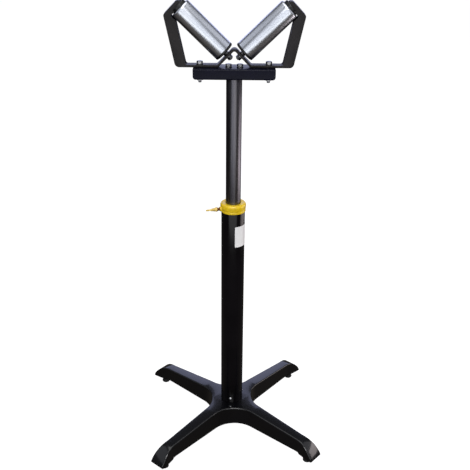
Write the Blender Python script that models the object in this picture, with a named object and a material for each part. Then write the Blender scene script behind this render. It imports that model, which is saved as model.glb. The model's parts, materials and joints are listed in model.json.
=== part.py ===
"""V roller stand: a telescoping column on an X-shaped base, with two rollers in a V.

Metres, +Z up. The origin is on the floor under the column's axis, the rollers
lie along X and the front is at -Y.
"""

import math

import bmesh
import bpy
from mathutils import Matrix, Vector

# Clearances
FIT = 0.0003            # between faces that seat and between a shaft and its hole
RUN = 0.0015            # between a turning roller and what it passes
OVERRUN = 0.004         # how far a cutter runs past the surface it opens
WELD = 0.000003         # points closer than this are one point
SEAM_WELD = 0.00003     # the same, where the legs of the base meet

# Base casting
HUB_HEIGHT = 0.0754     # floor to the flat top of the hub
LEG_REACH = 0.300       # column axis to the end of a leg
LEG_ROOT_HALF = 0.018   # half width of a leg's top where the scallop ends
LEG_NECK_HALF = 0.0145  # half width of its top at the narrowest
LEG_TIP_HALF = 0.0215   # half width of its flared end
LEG_END_LENGTH = 0.058  # the narrowest place to the end
LEG_NECK_HEIGHT = 0.0615
LEG_TIP_HEIGHT = 0.032
LEG_RIM_HEIGHT = 0.0255  # floor to the lower edge of the leg walls
LEG_PAD_DROP = 0.004    # how much lower the rim is at the leg's end
LEG_PAD_LENGTH = 0.048
LEG_DRAFT = 0.0022      # how much wider the walls are at the rim
LEG_CORNER = 0.004      # corners of the leg's end, seen from above
SCALLOP_RADIUS = 0.0735
EDGE_RADIUS = 0.0035
SLOPE_STEP = 0.0004     # run over which a wall's direction is taken
CASTING_WALL = 0.005
CASTING_ROOF = 0.007
HUB_CORE_RADIUS = 0.060
RIB_THICKNESS = 0.005   # web across each leg
RIB_REACH = 0.163
SPIGOT_HEIGHT = 0.038
SPIGOT_CHAMFER = 0.002
CORE_BORE_RADIUS = 0.016
CORE_CAP = 0.008
BASE_TURN = math.radians(4.3)  # how the base stands against the head in the photograph
SCALLOP_SHARES = (0.0, 0.2, 0.45, 0.7, 1.0)  # where the hub's scallop is drawn
SLOPE_SHARES = (0.5, 1.0)
END_SHARES = (0.35, 0.6, 0.8, 0.93)

# Levelling feet
FOOT_INSET = 0.0286     # end of a leg to its foot's axis
FOOT_BOSS_RADIUS = 0.0095
FOOT_BOSS_DROP = 0.0015  # boss below the rim of the leg's end
FOOT_THREAD_RADIUS = 0.004
FOOT_THREAD_LENGTH = 0.024
FOOT_HEX_FLATS = 0.014
FOOT_HEX_HEIGHT = 0.005
FOOT_PIN_LENGTH = 0.005
PAD_RADIUS = 0.0115
PAD_TOP_RADIUS = 0.0095
PAD_HEIGHT = 0.009
PAD_EDGE = 0.0015

# Column
COLUMN_RADIUS = 0.03015
COLUMN_WALL = 0.0030
COLUMN_LENGTH = 0.596
COLUMN_SCREW_RISE = 0.014  # hub top to the screws
COLUMN_SCREW_RADIUS = 0.0025
COLUMN_SCREW_LENGTH = 0.014
COLUMN_SCREW_HEAD_RADIUS = 0.0045
COLUMN_SCREW_HEAD_HEIGHT = 0.0028
SCREW_DOME_SHARES = ((0.92, 0.45), (0.62, 0.85))  # of its head's radius and height
COLUMN_SCREW_ANGLES = (("front", 263.7), ("right", 23.7), ("left", 143.7))

# Lock collar and wing screw
COLLAR_RADIUS = 0.0328  # its bead, at the widest
COLLAR_LIP = 0.0073     # thickness of its top over the column's end
COLLAR_SKIRT = 0.0155   # how far it reaches down outside the column
COLLAR_SLEEVE = 0.040   # how far it reaches down inside the column
COLLAR_CROWN = 0.0062   # its top down to the widest place
COLLAR_ROUND = 0.0045   # how far the bead draws in at the top
COLLAR_BEAD = 0.0165    # its top down to the groove
COLLAR_GROOVE_RADIUS = 0.0313
COLLAR_GROOVE = 0.0012
COLLAR_HEM_RADIUS = 0.0319  # the narrow lip below the groove
COLLAR_EDGE = 0.0012
WING_ANGLE = math.radians(198.0)
WING_DROP = 0.0150      # collar top to the screw's axis
WING_BOSS_RADIUS = 0.0062
WING_BOSS_LENGTH = 0.003
WING_THREAD_RADIUS = 0.004
WING_THREAD_SHOWN = 0.0075
WING_HUB_RADIUS = 0.0060
WING_HUB_TIP = 0.0034
WING_HUB_LENGTH = 0.018
WING_TURN = math.radians(24.0)  # its wings lie along the photograph's line of sight
WING_LENGTH = 0.026
WING_SPAN = 0.025
WING_THICKNESS = 0.0046
WING_NOTCH = 0.009
WING_TIP_WIDTH = 0.0062
WING_ROUND = 0.0026

# Mast
MAST_RADIUS = 0.01905
MAST_WALL = 0.0032
MAST_LENGTH = 0.580
MAST_SHOWN = 0.318      # collar top to the beam, as in the photograph
PLUG_LENGTH = 0.025
PLUG_SHOULDER_RADIUS = 0.0228
PLUG_SHOULDER_HEIGHT = 0.006
BUSH_HEIGHT = 0.040
RING_HEIGHT = 0.0016
RING_WIDTH = 0.0035
RING_DEPTH = 0.0010
RING_GAP = 0.005
FLANGE_RADIUS = 0.0260
FLANGE_THICKNESS = 0.010

# Beam
BEAM_LENGTH = 0.193
BEAM_WIDTH = 0.060
BEAM_HEIGHT = 0.0254
BEAM_WALL = 0.0030
BEAM_CORNER = 0.0035
BEAM_CLIP = 0.008       # radius of the lower corners at both ends
BEAM_TOP_CLIP = 0.0015

# Roller bracket, a bent bar whose arms have turned flanges
BAR_WIDTH = 0.028
BAR_THICKNESS = 0.0055
ROLLER_TILT = math.radians(44.0)
VERTEX_RISE = 0.0120    # beam top to the point where the roller axes meet
PLATE_TOP = 0.0130      # roller axis to the upper end of the end plate
PLATE_FOOT = 0.0360     # roller axis to the corner where the arm starts
PLATE_FLANGE = 0.0143   # depth of the flanges beside the roller's end
ARM_FLANGE = 0.0250     # depth of the flanges on the arm
ARM_LEAN = math.radians(12.0)
PEAK_BEND = 0.0102
LEG_BEND = 0.005
ARM_BEND = 0.011
ARM_FILLET = 0.006
CORNER_BEND = 0.007
TIP_ROUND = 0.009
TIP_CORNER = 0.004
STEP_ROUND = 0.002

# Rollers, measured along each axis from the point where the axes meet
ROLLER_START = 0.0312
ROLLER_LENGTH = 0.1435
ROLLER_RADIUS = 0.0254
ROLLER_WALL = 0.0025
ROLLER_EDGE = 0.0008
INNER_GAP = 0.0065      # roller end to the inner leg
OUTER_GAP = 0.0111      # roller end to the end plate
CAP_SHOWN = 0.0055
CAP_ROUND = 0.0025
CAP_PLUG = 0.0130
CAP_WALL = 0.0025
CAP_HOLE_RADIUS = 0.0095

# Ball bearings
BEARING_WIDTH = 0.009
BEARING_RADIUS = 0.015
RACE_DEPTH = 0.0026
BALL_RADIUS = 0.0024
BALL_COUNT = 7
BALL_SIDES = 5
BALL_RINGS = 3
BALL_PHASE_SHARE = 0.37  # how far the first ball stands from the cage's seam
GROOVE_PLAY = 0.0006     # between a ball and the floor of its groove
CAGE_WIDTH = 0.0024
CAGE_THICKNESS = 0.0010

# Axle and its fastenings
AXLE_RADIUS = 0.005
THREAD_RADIUS = 0.004
AXLE_EDGE = 0.0006
SPACER_WALL = 0.0022
AXLE_TAIL = 0.002       # thread shown past the nut

# Fasteners with an 8 mm thread
HEX_FLATS = 0.013
HEX_CHAMFER = 0.0008
NUT_HEIGHT = 0.0065
HEAD_HEIGHT = 0.0053
WASHER_RADIUS = 0.008
WASHER_HEIGHT = 0.0016
BOLT_OFFSET = 0.081     # column axis to a frame bolt
BOLT_TAIL = 0.0050
FLANGE_BOLT_OFFSET = 0.0135
FLANGE_BOLT_GRIP = 0.0085  # thread in the mast flange
FLANGE_HEAD_RADIUS = 0.0085
FLANGE_HEAD_LIP = 0.0013

# Facets
ROUND = 28
ROLLER = 24
MEDIUM = 16
SMALL = 12
ARC = 3

# Sizes that follow
LEG_NECK_REACH = LEG_REACH - LEG_END_LENGTH
FOOT_REACH = LEG_REACH - FOOT_INSET
COLUMN_FOOT = HUB_HEIGHT + FIT
COLUMN_TOP = COLUMN_FOOT + COLUMN_LENGTH
COLUMN_BORE = COLUMN_RADIUS - COLUMN_WALL
COLLAR_TOP = COLUMN_TOP + FIT + COLLAR_LIP
WING_HEIGHT = COLLAR_TOP - WING_DROP
BEAM_FOOT = COLLAR_TOP + MAST_SHOWN
BEAM_TOP = BEAM_FOOT + BEAM_HEIGHT
FLANGE_TOP = BEAM_TOP - BEAM_WALL - FIT
MAST_TOP = FLANGE_TOP - FLANGE_THICKNESS - FIT
MAST_FOOT = MAST_TOP - MAST_LENGTH
MAST_BORE = MAST_RADIUS - MAST_WALL
BAR_FOOT = BEAM_TOP + FIT
BAR_TOP = BAR_FOOT + BAR_THICKNESS
VERTEX = BEAM_TOP + VERTEX_RISE
LEG_FACE = ROLLER_START - INNER_GAP
ROLLER_END = ROLLER_START + ROLLER_LENGTH
PLATE_FACE = ROLLER_END + OUTER_GAP
PLATE_BACK = PLATE_FACE + BAR_THICKNESS
RING_FOOT = MAST_FOOT + BUSH_HEIGHT + FIT

# Finishes: colour, roughness, metallic
FINISHES = {
    "black_gloss": ((0.012, 0.012, 0.015), 0.18, 0.0),
    "black_cast": ((0.020, 0.020, 0.026), 0.30, 0.0),
    "beam_paint": ((0.010, 0.011, 0.025), 0.25, 0.0),
    "bracket_paint": ((0.035, 0.030, 0.030), 0.40, 0.0),
    "mast_steel": ((0.300, 0.310, 0.330), 0.30, 0.9),
    "roller_zinc": ((0.720, 0.740, 0.780), 0.25, 1.0),
    "bright_zinc": ((0.600, 0.600, 0.580), 0.30, 1.0),
    "bearing_steel": ((0.550, 0.560, 0.580), 0.18, 1.0),
    "yellow": ((0.900, 0.550, 0.020), 0.40, 0.0),
    "black_plastic": ((0.015, 0.015, 0.015), 0.45, 0.0),
    "pale_nylon": ((0.750, 0.730, 0.660), 0.50, 0.0),
    "foot_rubber": ((0.020, 0.020, 0.020), 0.80, 0.0),
}

ALONG = Vector((math.cos(ROLLER_TILT), 0.0, math.sin(ROLLER_TILT)))
ACROSS = Vector((math.sin(ROLLER_TILT), 0.0, -math.cos(ROLLER_TILT)))


def clear_scene():
    for item in list(bpy.data.objects):
        bpy.data.objects.remove(item, do_unlink=True)


def new_material(name, colour, roughness, metallic):
    made = bpy.data.materials.new(name)
    made.use_nodes = True
    shader = made.node_tree.nodes["Principled BSDF"]
    shader.inputs["Base Color"].default_value = (*colour, 1.0)
    shader.inputs["Roughness"].default_value = roughness
    shader.inputs["Metallic"].default_value = metallic
    return made


def axis_empty(name, place, turn=Matrix.Identity(4)):
    """An empty on a joint's axis, which carries the pieces that move on it."""
    marker = bpy.data.objects.new(name, None)
    marker.empty_display_size = COLUMN_RADIUS
    marker.matrix_world = Matrix.Translation(place) @ turn
    bpy.context.scene.collection.objects.link(marker)
    return marker


def to_object(name, shape, finish=None, parent=None):
    """Turn a bmesh into a named object with smooth round faces and its own material."""
    bmesh.ops.recalc_face_normals(shape, faces=shape.faces)
    mesh = bpy.data.meshes.new(name)
    shape.to_mesh(mesh)
    shape.free()
    mesh.shade_smooth()
    mesh.set_sharp_from_angle(angle=math.radians(35.0))
    made = bpy.data.objects.new(name, mesh)
    bpy.context.scene.collection.objects.link(made)
    if finish:
        mesh.materials.append(new_material(name, *FINISHES[finish]))
    made.parent = parent
    return made


def turned(outline, sides, rise=0.0):
    """Revolve a closed outline of (radius, height) points about Z."""
    shape = bmesh.new()
    ring = [shape.verts.new((radius, 0.0, height + rise)) for radius, height in outline]
    edges = [shape.edges.new((ring[i - 1], ring[i])) for i in range(len(ring))]
    bmesh.ops.spin(shape, geom=ring + edges, cent=(0, 0, 0), axis=(0, 0, 1),
                   angle=math.tau, steps=sides, use_merge=True)
    bmesh.ops.remove_doubles(shape, verts=shape.verts, dist=WELD)
    on_axis = [edge for edge in shape.edges if not edge.link_faces]
    bmesh.ops.delete(shape, geom=on_axis, context="EDGES")
    return shape


def extruded(outline, start, end, plane="XZ"):
    """Extrude a flat outline along the axis that its plane leaves free."""
    order = {"XZ": (0, 2, 1), "YZ": (1, 2, 0), "XY": (0, 1, 2)}[plane]
    shape = bmesh.new()
    corners = []
    for first, second in outline:
        place = [0.0, 0.0, 0.0]
        place[order[0]], place[order[1]], place[order[2]] = first, second, start
        corners.append(shape.verts.new(place))
    cap = shape.faces.new(corners)
    grown = bmesh.ops.extrude_face_region(shape, geom=[cap])["geom"]
    step = Vector((0.0, 0.0, 0.0))
    step[order[2]] = end - start
    moved = [item for item in grown if isinstance(item, bmesh.types.BMVert)]
    bmesh.ops.translate(shape, verts=moved, vec=step)
    return shape


def rounded(corners, steps=ARC):
    """Round each (x, y, radius) corner of a closed outline with an arc."""
    points = []
    count = len(corners)
    for i, (x, y, radius) in enumerate(corners):
        here = Vector((x, y))
        back = (Vector(corners[i - 1][:2]) - here).normalized()
        ahead = (Vector(corners[(i + 1) % count][:2]) - here).normalized()
        half = back.angle(ahead) / 2
        if radius == 0 or half > math.radians(89.0):
            points.append((x, y))
            continue
        run = radius / math.tan(half)
        centre = here + (back + ahead).normalized() * (radius / math.sin(half))
        first = here + back * run - centre
        last = here + ahead * run - centre
        sweep = first.angle_signed(last)
        for step in range(steps + 1):
            turn = Matrix.Rotation(-sweep * step / steps, 2)
            points.append(tuple(centre + turn @ first))
    return points


def rod(radius, start, end, sides=SMALL, chamfer=0.0):
    """A round bar on Z, with both ends chamfered if asked."""
    outline = [(0.0, start), (radius - chamfer, start), (radius, start + chamfer),
               (radius, end - chamfer), (radius - chamfer, end), (0.0, end)]
    if chamfer == 0.0:
        outline = [(0.0, start), (radius, start), (radius, end), (0.0, end)]
    return turned(outline, sides)


def pipe(inner, outer, start, end, sides=MEDIUM, chamfer=0.0):
    """A tube on Z, with its outer edges chamfered if asked."""
    outline = [(inner, start), (outer - chamfer, start), (outer, start + chamfer),
               (outer, end - chamfer), (outer - chamfer, end), (inner, end)]
    if chamfer == 0.0:
        outline = [(inner, start), (outer, start), (outer, end), (inner, end)]
    return turned(outline, sides)


def hexagon(flats, start, end):
    """A hexagonal bar on Z, chamfered at both ends."""
    return rod(flats / 2 / math.cos(math.pi / 6), start, end, 6, HEX_CHAMFER)


def joined(shape, other, operation="UNION"):
    """Combine two closed shapes and return the result as a bmesh."""
    first = to_object("shape_a", shape)
    second = to_object("shape_b", other)
    step = first.modifiers.new("combine", "BOOLEAN")
    step.operation = operation
    step.solver = "EXACT"
    step.object = second
    graph = bpy.context.evaluated_depsgraph_get()
    graph.update()
    result = bmesh.new()
    result.from_mesh(first.evaluated_get(graph).to_mesh())
    for item in (first, second):
        mesh = item.data
        bpy.data.objects.remove(item, do_unlink=True)
        bpy.data.meshes.remove(mesh)
    bmesh.ops.remove_doubles(result, verts=result.verts, dist=WELD)
    bmesh.ops.dissolve_degenerate(result, edges=result.edges, dist=WELD)
    return result


def cut(shape, *cutters):
    for cutter in cutters:
        shape = joined(shape, cutter, "DIFFERENCE")
    return shape


def placed(shape, *steps):
    """Move a bmesh by one matrix after another."""
    for step in steps:
        bmesh.ops.transform(shape, matrix=step, verts=shape.verts)
    return shape


def radial(angle, height):
    """Turn a shape from Z to point outwards at an angle about the column."""
    return (Matrix.Translation((0, 0, height)) @ Matrix.Rotation(angle, 4, "Z")
            @ Matrix.Rotation(math.radians(90.0), 4, "Y"))


def leg_half_width(reach):
    """Half the width of a leg's flat top, at a distance from the column's axis."""
    scallop_end = LEG_ROOT_HALF + SCALLOP_RADIUS
    if reach < scallop_end:
        run = scallop_end - reach
        return scallop_end - math.sqrt(SCALLOP_RADIUS ** 2 - run ** 2)
    if reach < LEG_NECK_REACH:
        share = (reach - scallop_end) / (LEG_NECK_REACH - scallop_end)
        return LEG_ROOT_HALF + (LEG_NECK_HALF - LEG_ROOT_HALF) * share
    share = (reach - LEG_NECK_REACH) / (LEG_REACH - LEG_NECK_REACH)
    return LEG_NECK_HALF + (LEG_TIP_HALF - LEG_NECK_HALF) * math.sin(share * math.pi / 2) ** 2


def leg_height(reach):
    """Height of a leg's top: level at the hub, sloping out, then rolled over."""
    slope_start = LEG_ROOT_HALF + SCALLOP_RADIUS
    if reach < slope_start:
        return HUB_HEIGHT
    if reach < LEG_NECK_REACH:
        share = (reach - slope_start) / (LEG_NECK_REACH - slope_start)
        return HUB_HEIGHT + (LEG_NECK_HEIGHT - HUB_HEIGHT) * share
    share = (reach - LEG_NECK_REACH) / (LEG_REACH - LEG_NECK_REACH)
    drop = 1 - math.sqrt(max(0.0, 1 - share ** 2))
    return LEG_NECK_HEIGHT + (LEG_TIP_HEIGHT - LEG_NECK_HEIGHT) * drop


def leg_side(reach, inset=0.0):
    """The section of one leg wall: points from the rim up to the flat top."""
    slope = (leg_half_width(reach + SLOPE_STEP) - leg_half_width(reach)) / SLOPE_STEP
    if reach >= LEG_REACH:
        slope = 0.0
    outward = Vector((-slope, 1.0)).normalized()
    wall = Vector((reach, leg_half_width(min(reach, LEG_REACH)) - inset))
    rim = LEG_RIM_HEIGHT
    if reach > LEG_REACH - LEG_PAD_LENGTH:
        rim -= LEG_PAD_DROP
    top = leg_height(min(reach, LEG_REACH))
    tilt = math.sqrt(0.5)
    foot = wall + outward * LEG_DRAFT
    mid = wall - outward * EDGE_RADIUS * (1 - tilt)
    edge = wall - outward * EDGE_RADIUS
    return [(foot.x, foot.y, rim), (wall.x, wall.y, top - EDGE_RADIUS),
            (mid.x, mid.y, top - EDGE_RADIUS * (1 - tilt)), (edge.x, edge.y, top)]


def leg_stations():
    """Distances from the column's axis at which a leg's section is drawn."""
    scallop_end = LEG_ROOT_HALF + SCALLOP_RADIUS
    start = scallop_end - SCALLOP_RADIUS * math.sqrt(0.5)
    pad = LEG_REACH - LEG_PAD_LENGTH
    stations = [start + (scallop_end - start) * share for share in SCALLOP_SHARES]
    stations += [scallop_end + (LEG_NECK_REACH - scallop_end) * share for share in SLOPE_SHARES]
    stations += [pad, pad + OVERRUN]
    stations += [pad + LEG_PAD_LENGTH * share for share in END_SHARES]
    return sorted(stations)


def base_shell():
    """The outer skin of the casting: four equal legs that meet in the scalloped hub."""
    shape = bmesh.new()
    tops = []
    feet = []
    sections = [leg_side(reach) for reach in leg_stations()]
    end = leg_side(LEG_REACH, LEG_CORNER)
    sections.append(end)
    for quarter in range(4):
        turn = Matrix.Rotation(math.radians(45.0 + 90.0 * quarter), 4, "Z")
        rows = []
        for section in sections:
            left = [shape.verts.new(turn @ Vector(point)) for point in section]
            right = [shape.verts.new(turn @ Vector((x, -y, z))) for x, y, z in section]
            rows.append(left + right[::-1])
        for near, far in zip(rows, rows[1:]):
            for i in range(len(near)):
                shape.faces.new((near[i - 1], near[i], far[i], far[i - 1]))
        shape.faces.new(rows[-1])
        tops.append(rows[0][4])
        feet.append(rows[0][7])
    shape.faces.new(tops)
    shape.faces.new(feet)
    bmesh.ops.remove_doubles(shape, verts=shape.verts, dist=SEAM_WELD)
    return shape


def leg_pocket(start, end):
    """A cutter for the hollow under a leg, between two distances from the axis."""
    steps = 5
    shape = bmesh.new()
    rows = []
    for i in range(steps + 1):
        reach = start + (end - start) * i / steps
        half = leg_half_width(reach) - CASTING_WALL
        roof = leg_height(reach) - CASTING_ROOF
        corners = ((-half, -OVERRUN), (half, -OVERRUN), (half, roof), (-half, roof))
        rows.append([shape.verts.new((reach, y, z)) for y, z in corners])
    for near, far in zip(rows, rows[1:]):
        for i in range(4):
            shape.faces.new((near[i - 1], near[i], far[i], far[i - 1]))
    shape.faces.new(rows[0])
    shape.faces.new(rows[-1])
    return shape


def make_base(stand):
    """The X-shaped casting, with ribbed hollow legs, foot bosses and column spigot."""
    spigot_radius = COLUMN_BORE - FIT
    spigot_top = HUB_HEIGHT + SPIGOT_HEIGHT
    shape = joined(base_shell(), turned(
        [(0.0, HUB_HEIGHT - CASTING_ROOF), (spigot_radius, HUB_HEIGHT - CASTING_ROOF),
         (spigot_radius, spigot_top - SPIGOT_CHAMFER),
         (spigot_radius - SPIGOT_CHAMFER, spigot_top), (0.0, spigot_top)], ROUND))
    shape = cut(shape, rod(CORE_BORE_RADIUS, -OVERRUN, spigot_top - CORE_CAP, MEDIUM))
    boss_foot = LEG_RIM_HEIGHT - LEG_PAD_DROP - FOOT_BOSS_DROP
    hole_top = boss_foot + FOOT_THREAD_LENGTH
    end_wall = LEG_REACH - CASTING_WALL - CASTING_ROOF
    for quarter in range(4):
        turn = Matrix.Rotation(math.radians(45.0 + 90.0 * quarter), 4, "Z")
        foot = turn @ Matrix.Translation((FOOT_REACH, 0, 0))
        shape = cut(shape,
                    placed(leg_pocket(HUB_CORE_RADIUS, RIB_REACH), turn),
                    placed(leg_pocket(RIB_REACH + RIB_THICKNESS, end_wall), turn))
        boss_top = leg_height(FOOT_REACH) - CASTING_WALL
        shape = joined(shape, placed(rod(FOOT_BOSS_RADIUS, boss_foot, boss_top), foot))
        hole = rod(FOOT_THREAD_RADIUS + FIT, boss_foot - OVERRUN, hole_top)
        shape = cut(shape, placed(hole, foot))
    for _, angle in COLUMN_SCREW_ANGLES:
        depth = COLUMN_RADIUS + FIT - COLUMN_SCREW_LENGTH - FIT
        hole = rod(COLUMN_SCREW_RADIUS + FIT, depth, COLUMN_RADIUS, SMALL)
        around = radial(math.radians(angle) - BASE_TURN, HUB_HEIGHT + COLUMN_SCREW_RISE)
        shape = cut(shape, placed(hole, around))
    return to_object("base_casting", shape, "black_cast", stand)


def make_feet(stand):
    """Four levelling studs with their round pads."""
    boss_foot = LEG_RIM_HEIGHT - LEG_PAD_DROP - FOOT_BOSS_DROP
    hex_top = boss_foot - FIT
    hex_foot = hex_top - FOOT_HEX_HEIGHT
    pin_foot = PAD_HEIGHT - FOOT_PIN_LENGTH
    thread_top = boss_foot + FOOT_THREAD_LENGTH - FIT
    corners = (("rear_right", 45.0), ("rear_left", 135.0),
               ("front_left", 225.0), ("front_right", 315.0))
    for corner, angle in corners:
        turn = Matrix.Rotation(math.radians(angle), 4, "Z")
        axis = axis_empty("foot_axis_" + corner, (0, 0, 0))
        axis.parent = stand
        axis.matrix_parent_inverse = Matrix.Identity(4)
        axis.matrix_basis = turn @ Matrix.Translation((FOOT_REACH, 0, 0))
        stud = joined(hexagon(FOOT_HEX_FLATS, hex_foot, hex_top),
                      rod(FOOT_THREAD_RADIUS, pin_foot, thread_top, SMALL, HEX_CHAMFER))
        to_object("foot_stud_" + corner, stud, "bright_zinc", axis)
        hole = FOOT_THREAD_RADIUS + FIT
        floor = pin_foot - FIT
        pad = turned([(0.0, 0.0), (PAD_RADIUS - PAD_EDGE, 0.0), (PAD_RADIUS, PAD_EDGE),
                      (PAD_TOP_RADIUS, PAD_HEIGHT), (hole, PAD_HEIGHT), (hole, floor),
                      (0.0, floor)], SMALL)
        to_object("foot_pad_" + corner, pad, "foot_rubber", axis)


def make_column():
    """The outer tube, with its foot screws."""
    shape = pipe(COLUMN_BORE, COLUMN_RADIUS, COLUMN_FOOT, COLUMN_TOP, ROUND)
    rise = HUB_HEIGHT + COLUMN_SCREW_RISE
    for name, angle in COLUMN_SCREW_ANGLES:
        around = radial(math.radians(angle), rise)
        hole = rod(COLUMN_SCREW_RADIUS + FIT, COLUMN_BORE - OVERRUN, COLUMN_RADIUS + OVERRUN)
        shape = cut(shape, placed(hole, around))
        seat = COLUMN_RADIUS + FIT
        head = seat + COLUMN_SCREW_HEAD_HEIGHT
        flat = COLUMN_SCREW_HEAD_RADIUS
        tip = seat - COLUMN_SCREW_LENGTH
        dome = [(flat * out, seat + (head - seat) * up) for out, up in SCREW_DOME_SHARES]
        screw = turned([(0.0, tip), (COLUMN_SCREW_RADIUS, tip), (COLUMN_SCREW_RADIUS, seat),
                        (flat, seat)] + dome + [(0.0, head)], SMALL)
        to_object("column_screw_" + name, placed(screw, around), "bright_zinc")
    hole = rod(WING_THREAD_RADIUS + FIT, COLUMN_BORE - OVERRUN, COLUMN_RADIUS + OVERRUN)
    shape = cut(shape, placed(hole, radial(WING_ANGLE, WING_HEIGHT)))
    to_object("column_tube", shape, "black_gloss")


def make_collar():
    """The yellow collar: a wide bead and a narrow hem outside the column, a sleeve inside."""
    bore = MAST_RADIUS + FIT
    skirt_bore = COLUMN_RADIUS + FIT
    sleeve = COLUMN_BORE - FIT
    seat = COLUMN_TOP + FIT
    hem_foot = seat - COLLAR_SKIRT
    sleeve_foot = seat - COLLAR_SLEEVE
    groove = COLLAR_TOP - COLLAR_BEAD
    widest = COLLAR_TOP - COLLAR_CROWN
    edge = COLLAR_EDGE
    outline = [(bore, sleeve_foot), (sleeve, sleeve_foot), (sleeve, seat), (skirt_bore, seat),
               (skirt_bore, hem_foot), (COLLAR_HEM_RADIUS, hem_foot),
               (COLLAR_HEM_RADIUS, groove - COLLAR_GROOVE - edge),
               (COLLAR_GROOVE_RADIUS, groove - COLLAR_GROOVE)]
    for step in range(-ARC, ARC + 1):
        angle = math.pi / 2 * step / ARC
        draw = COLLAR_ROUND if step > 0 else COLLAR_RADIUS - COLLAR_GROOVE_RADIUS
        rise = COLLAR_CROWN if step > 0 else widest - groove
        outline.append((COLLAR_RADIUS - draw * (1 - math.cos(angle)), widest + rise * math.sin(angle)))
    outline += [(bore + edge, COLLAR_TOP), (bore, COLLAR_TOP - edge)]
    shape = turned(outline, ROUND)
    around = radial(WING_ANGLE, WING_HEIGHT)
    boss_end = COLLAR_RADIUS + WING_BOSS_LENGTH
    shape = joined(shape, placed(rod(WING_BOSS_RADIUS, skirt_bore + WELD, boss_end), around))
    hole = rod(WING_THREAD_RADIUS + FIT, bore - OVERRUN, boss_end + OVERRUN)
    shape = cut(shape, placed(hole, around))
    to_object("lock_collar", shape, "yellow")


def make_wing_screw():
    """The clamping screw: a thread to the mast, a tapered hub and two flat wings."""
    tip = MAST_RADIUS + FIT
    hub_foot = COLLAR_RADIUS + WING_BOSS_LENGTH + WING_THREAD_SHOWN
    hub_top = hub_foot + WING_HUB_LENGTH
    hub = turned([(0.0, hub_foot), (WING_HUB_RADIUS, hub_foot), (WING_HUB_RADIUS, hub_foot + WING_ROUND),
                  (WING_HUB_TIP, hub_top), (0.0, hub_top)], SMALL)
    shape = joined(rod(WING_THREAD_RADIUS, tip, hub_foot + OVERRUN, SMALL, HEX_CHAMFER), hub)
    half = WING_SPAN / 2
    inner = half - WING_TIP_WIDTH
    root = hub_foot + WING_ROUND
    crown = hub_foot + WING_LENGTH
    notch = crown - WING_NOTCH
    wings = rounded([(-WING_HUB_TIP, root, 0.0), (WING_HUB_TIP, root, 0.0), (half, notch, WING_ROUND),
                     (half, crown, WING_ROUND), (inner, crown, WING_ROUND), (0.0, notch, WING_ROUND),
                     (-inner, crown, WING_ROUND), (-half, crown, WING_ROUND), (-half, notch, WING_ROUND)])
    blade = extruded([(z, y) for y, z in wings], -WING_THICKNESS / 2, WING_THICKNESS / 2, "XY")
    upright = Matrix.Rotation(math.radians(-90.0), 4, "Y")
    shape = joined(shape, placed(blade, upright))
    axis = axis_empty("wing_axis", (0, 0, 0), radial(WING_ANGLE, WING_HEIGHT))
    to_object("wing_screw", placed(shape, Matrix.Rotation(WING_TURN, 4, "Z")), "yellow", axis)


def make_mast():
    """The inner tube, what guides it at its foot, and the flange in its top."""
    lift = axis_empty("mast_axis", (0, 0, MAST_FOOT))
    groove = MAST_RADIUS - RING_DEPTH
    ring_foot = RING_FOOT - MAST_FOOT
    ring_top = ring_foot + RING_HEIGHT
    tube = turned([(MAST_BORE, 0.0), (MAST_RADIUS, 0.0), (MAST_RADIUS, ring_foot - FIT),
                   (groove, ring_foot - FIT), (groove, ring_top + FIT), (MAST_RADIUS, ring_top + FIT),
                   (MAST_RADIUS, MAST_LENGTH), (MAST_BORE, MAST_LENGTH)], ROUND)
    to_object("mast_tube", tube, "mast_steel", lift)
    bush = pipe(MAST_RADIUS + FIT, COLUMN_BORE - FIT, 0.0, BUSH_HEIGHT, ROUND)
    to_object("mast_bush", bush, "pale_nylon", lift)
    spigot = MAST_BORE - FIT
    foot = -FIT - PLUG_SHOULDER_HEIGHT
    plug = turned([(0.0, foot), (PLUG_SHOULDER_RADIUS, foot), (PLUG_SHOULDER_RADIUS, -FIT), (spigot, -FIT),
                   (spigot, PLUG_LENGTH), (0.0, PLUG_LENGTH)], MEDIUM)
    to_object("mast_foot_plug", plug, "bright_zinc", lift)
    ring = pipe(groove + FIT, MAST_RADIUS + RING_WIDTH, ring_foot, ring_top, ROUND)
    slot = extruded([(0.0, -RING_GAP / 2), (MAST_RADIUS + RING_WIDTH + OVERRUN, -RING_GAP / 2),
                     (MAST_RADIUS + RING_WIDTH + OVERRUN, RING_GAP / 2), (0.0, RING_GAP / 2)],
                    ring_foot - OVERRUN, ring_top + OVERRUN, "XY")
    to_object("bush_ring", cut(ring, slot), "bright_zinc", lift)
    top = FLANGE_TOP - MAST_FOOT
    under = top - FLANGE_THICKNESS
    flange = turned([(0.0, under - PLUG_LENGTH), (spigot, under - PLUG_LENGTH), (spigot, under),
                     (FLANGE_RADIUS, under), (FLANGE_RADIUS, top), (0.0, top)], MEDIUM)
    for side in (-1, 1):
        hole = rod(THREAD_RADIUS + FIT, top - FLANGE_BOLT_GRIP - FIT, top + OVERRUN)
        flange = cut(flange, placed(hole, Matrix.Translation((side * FLANGE_BOLT_OFFSET, 0, 0))))
    to_object("mast_flange", flange, "bright_zinc", lift)


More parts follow.
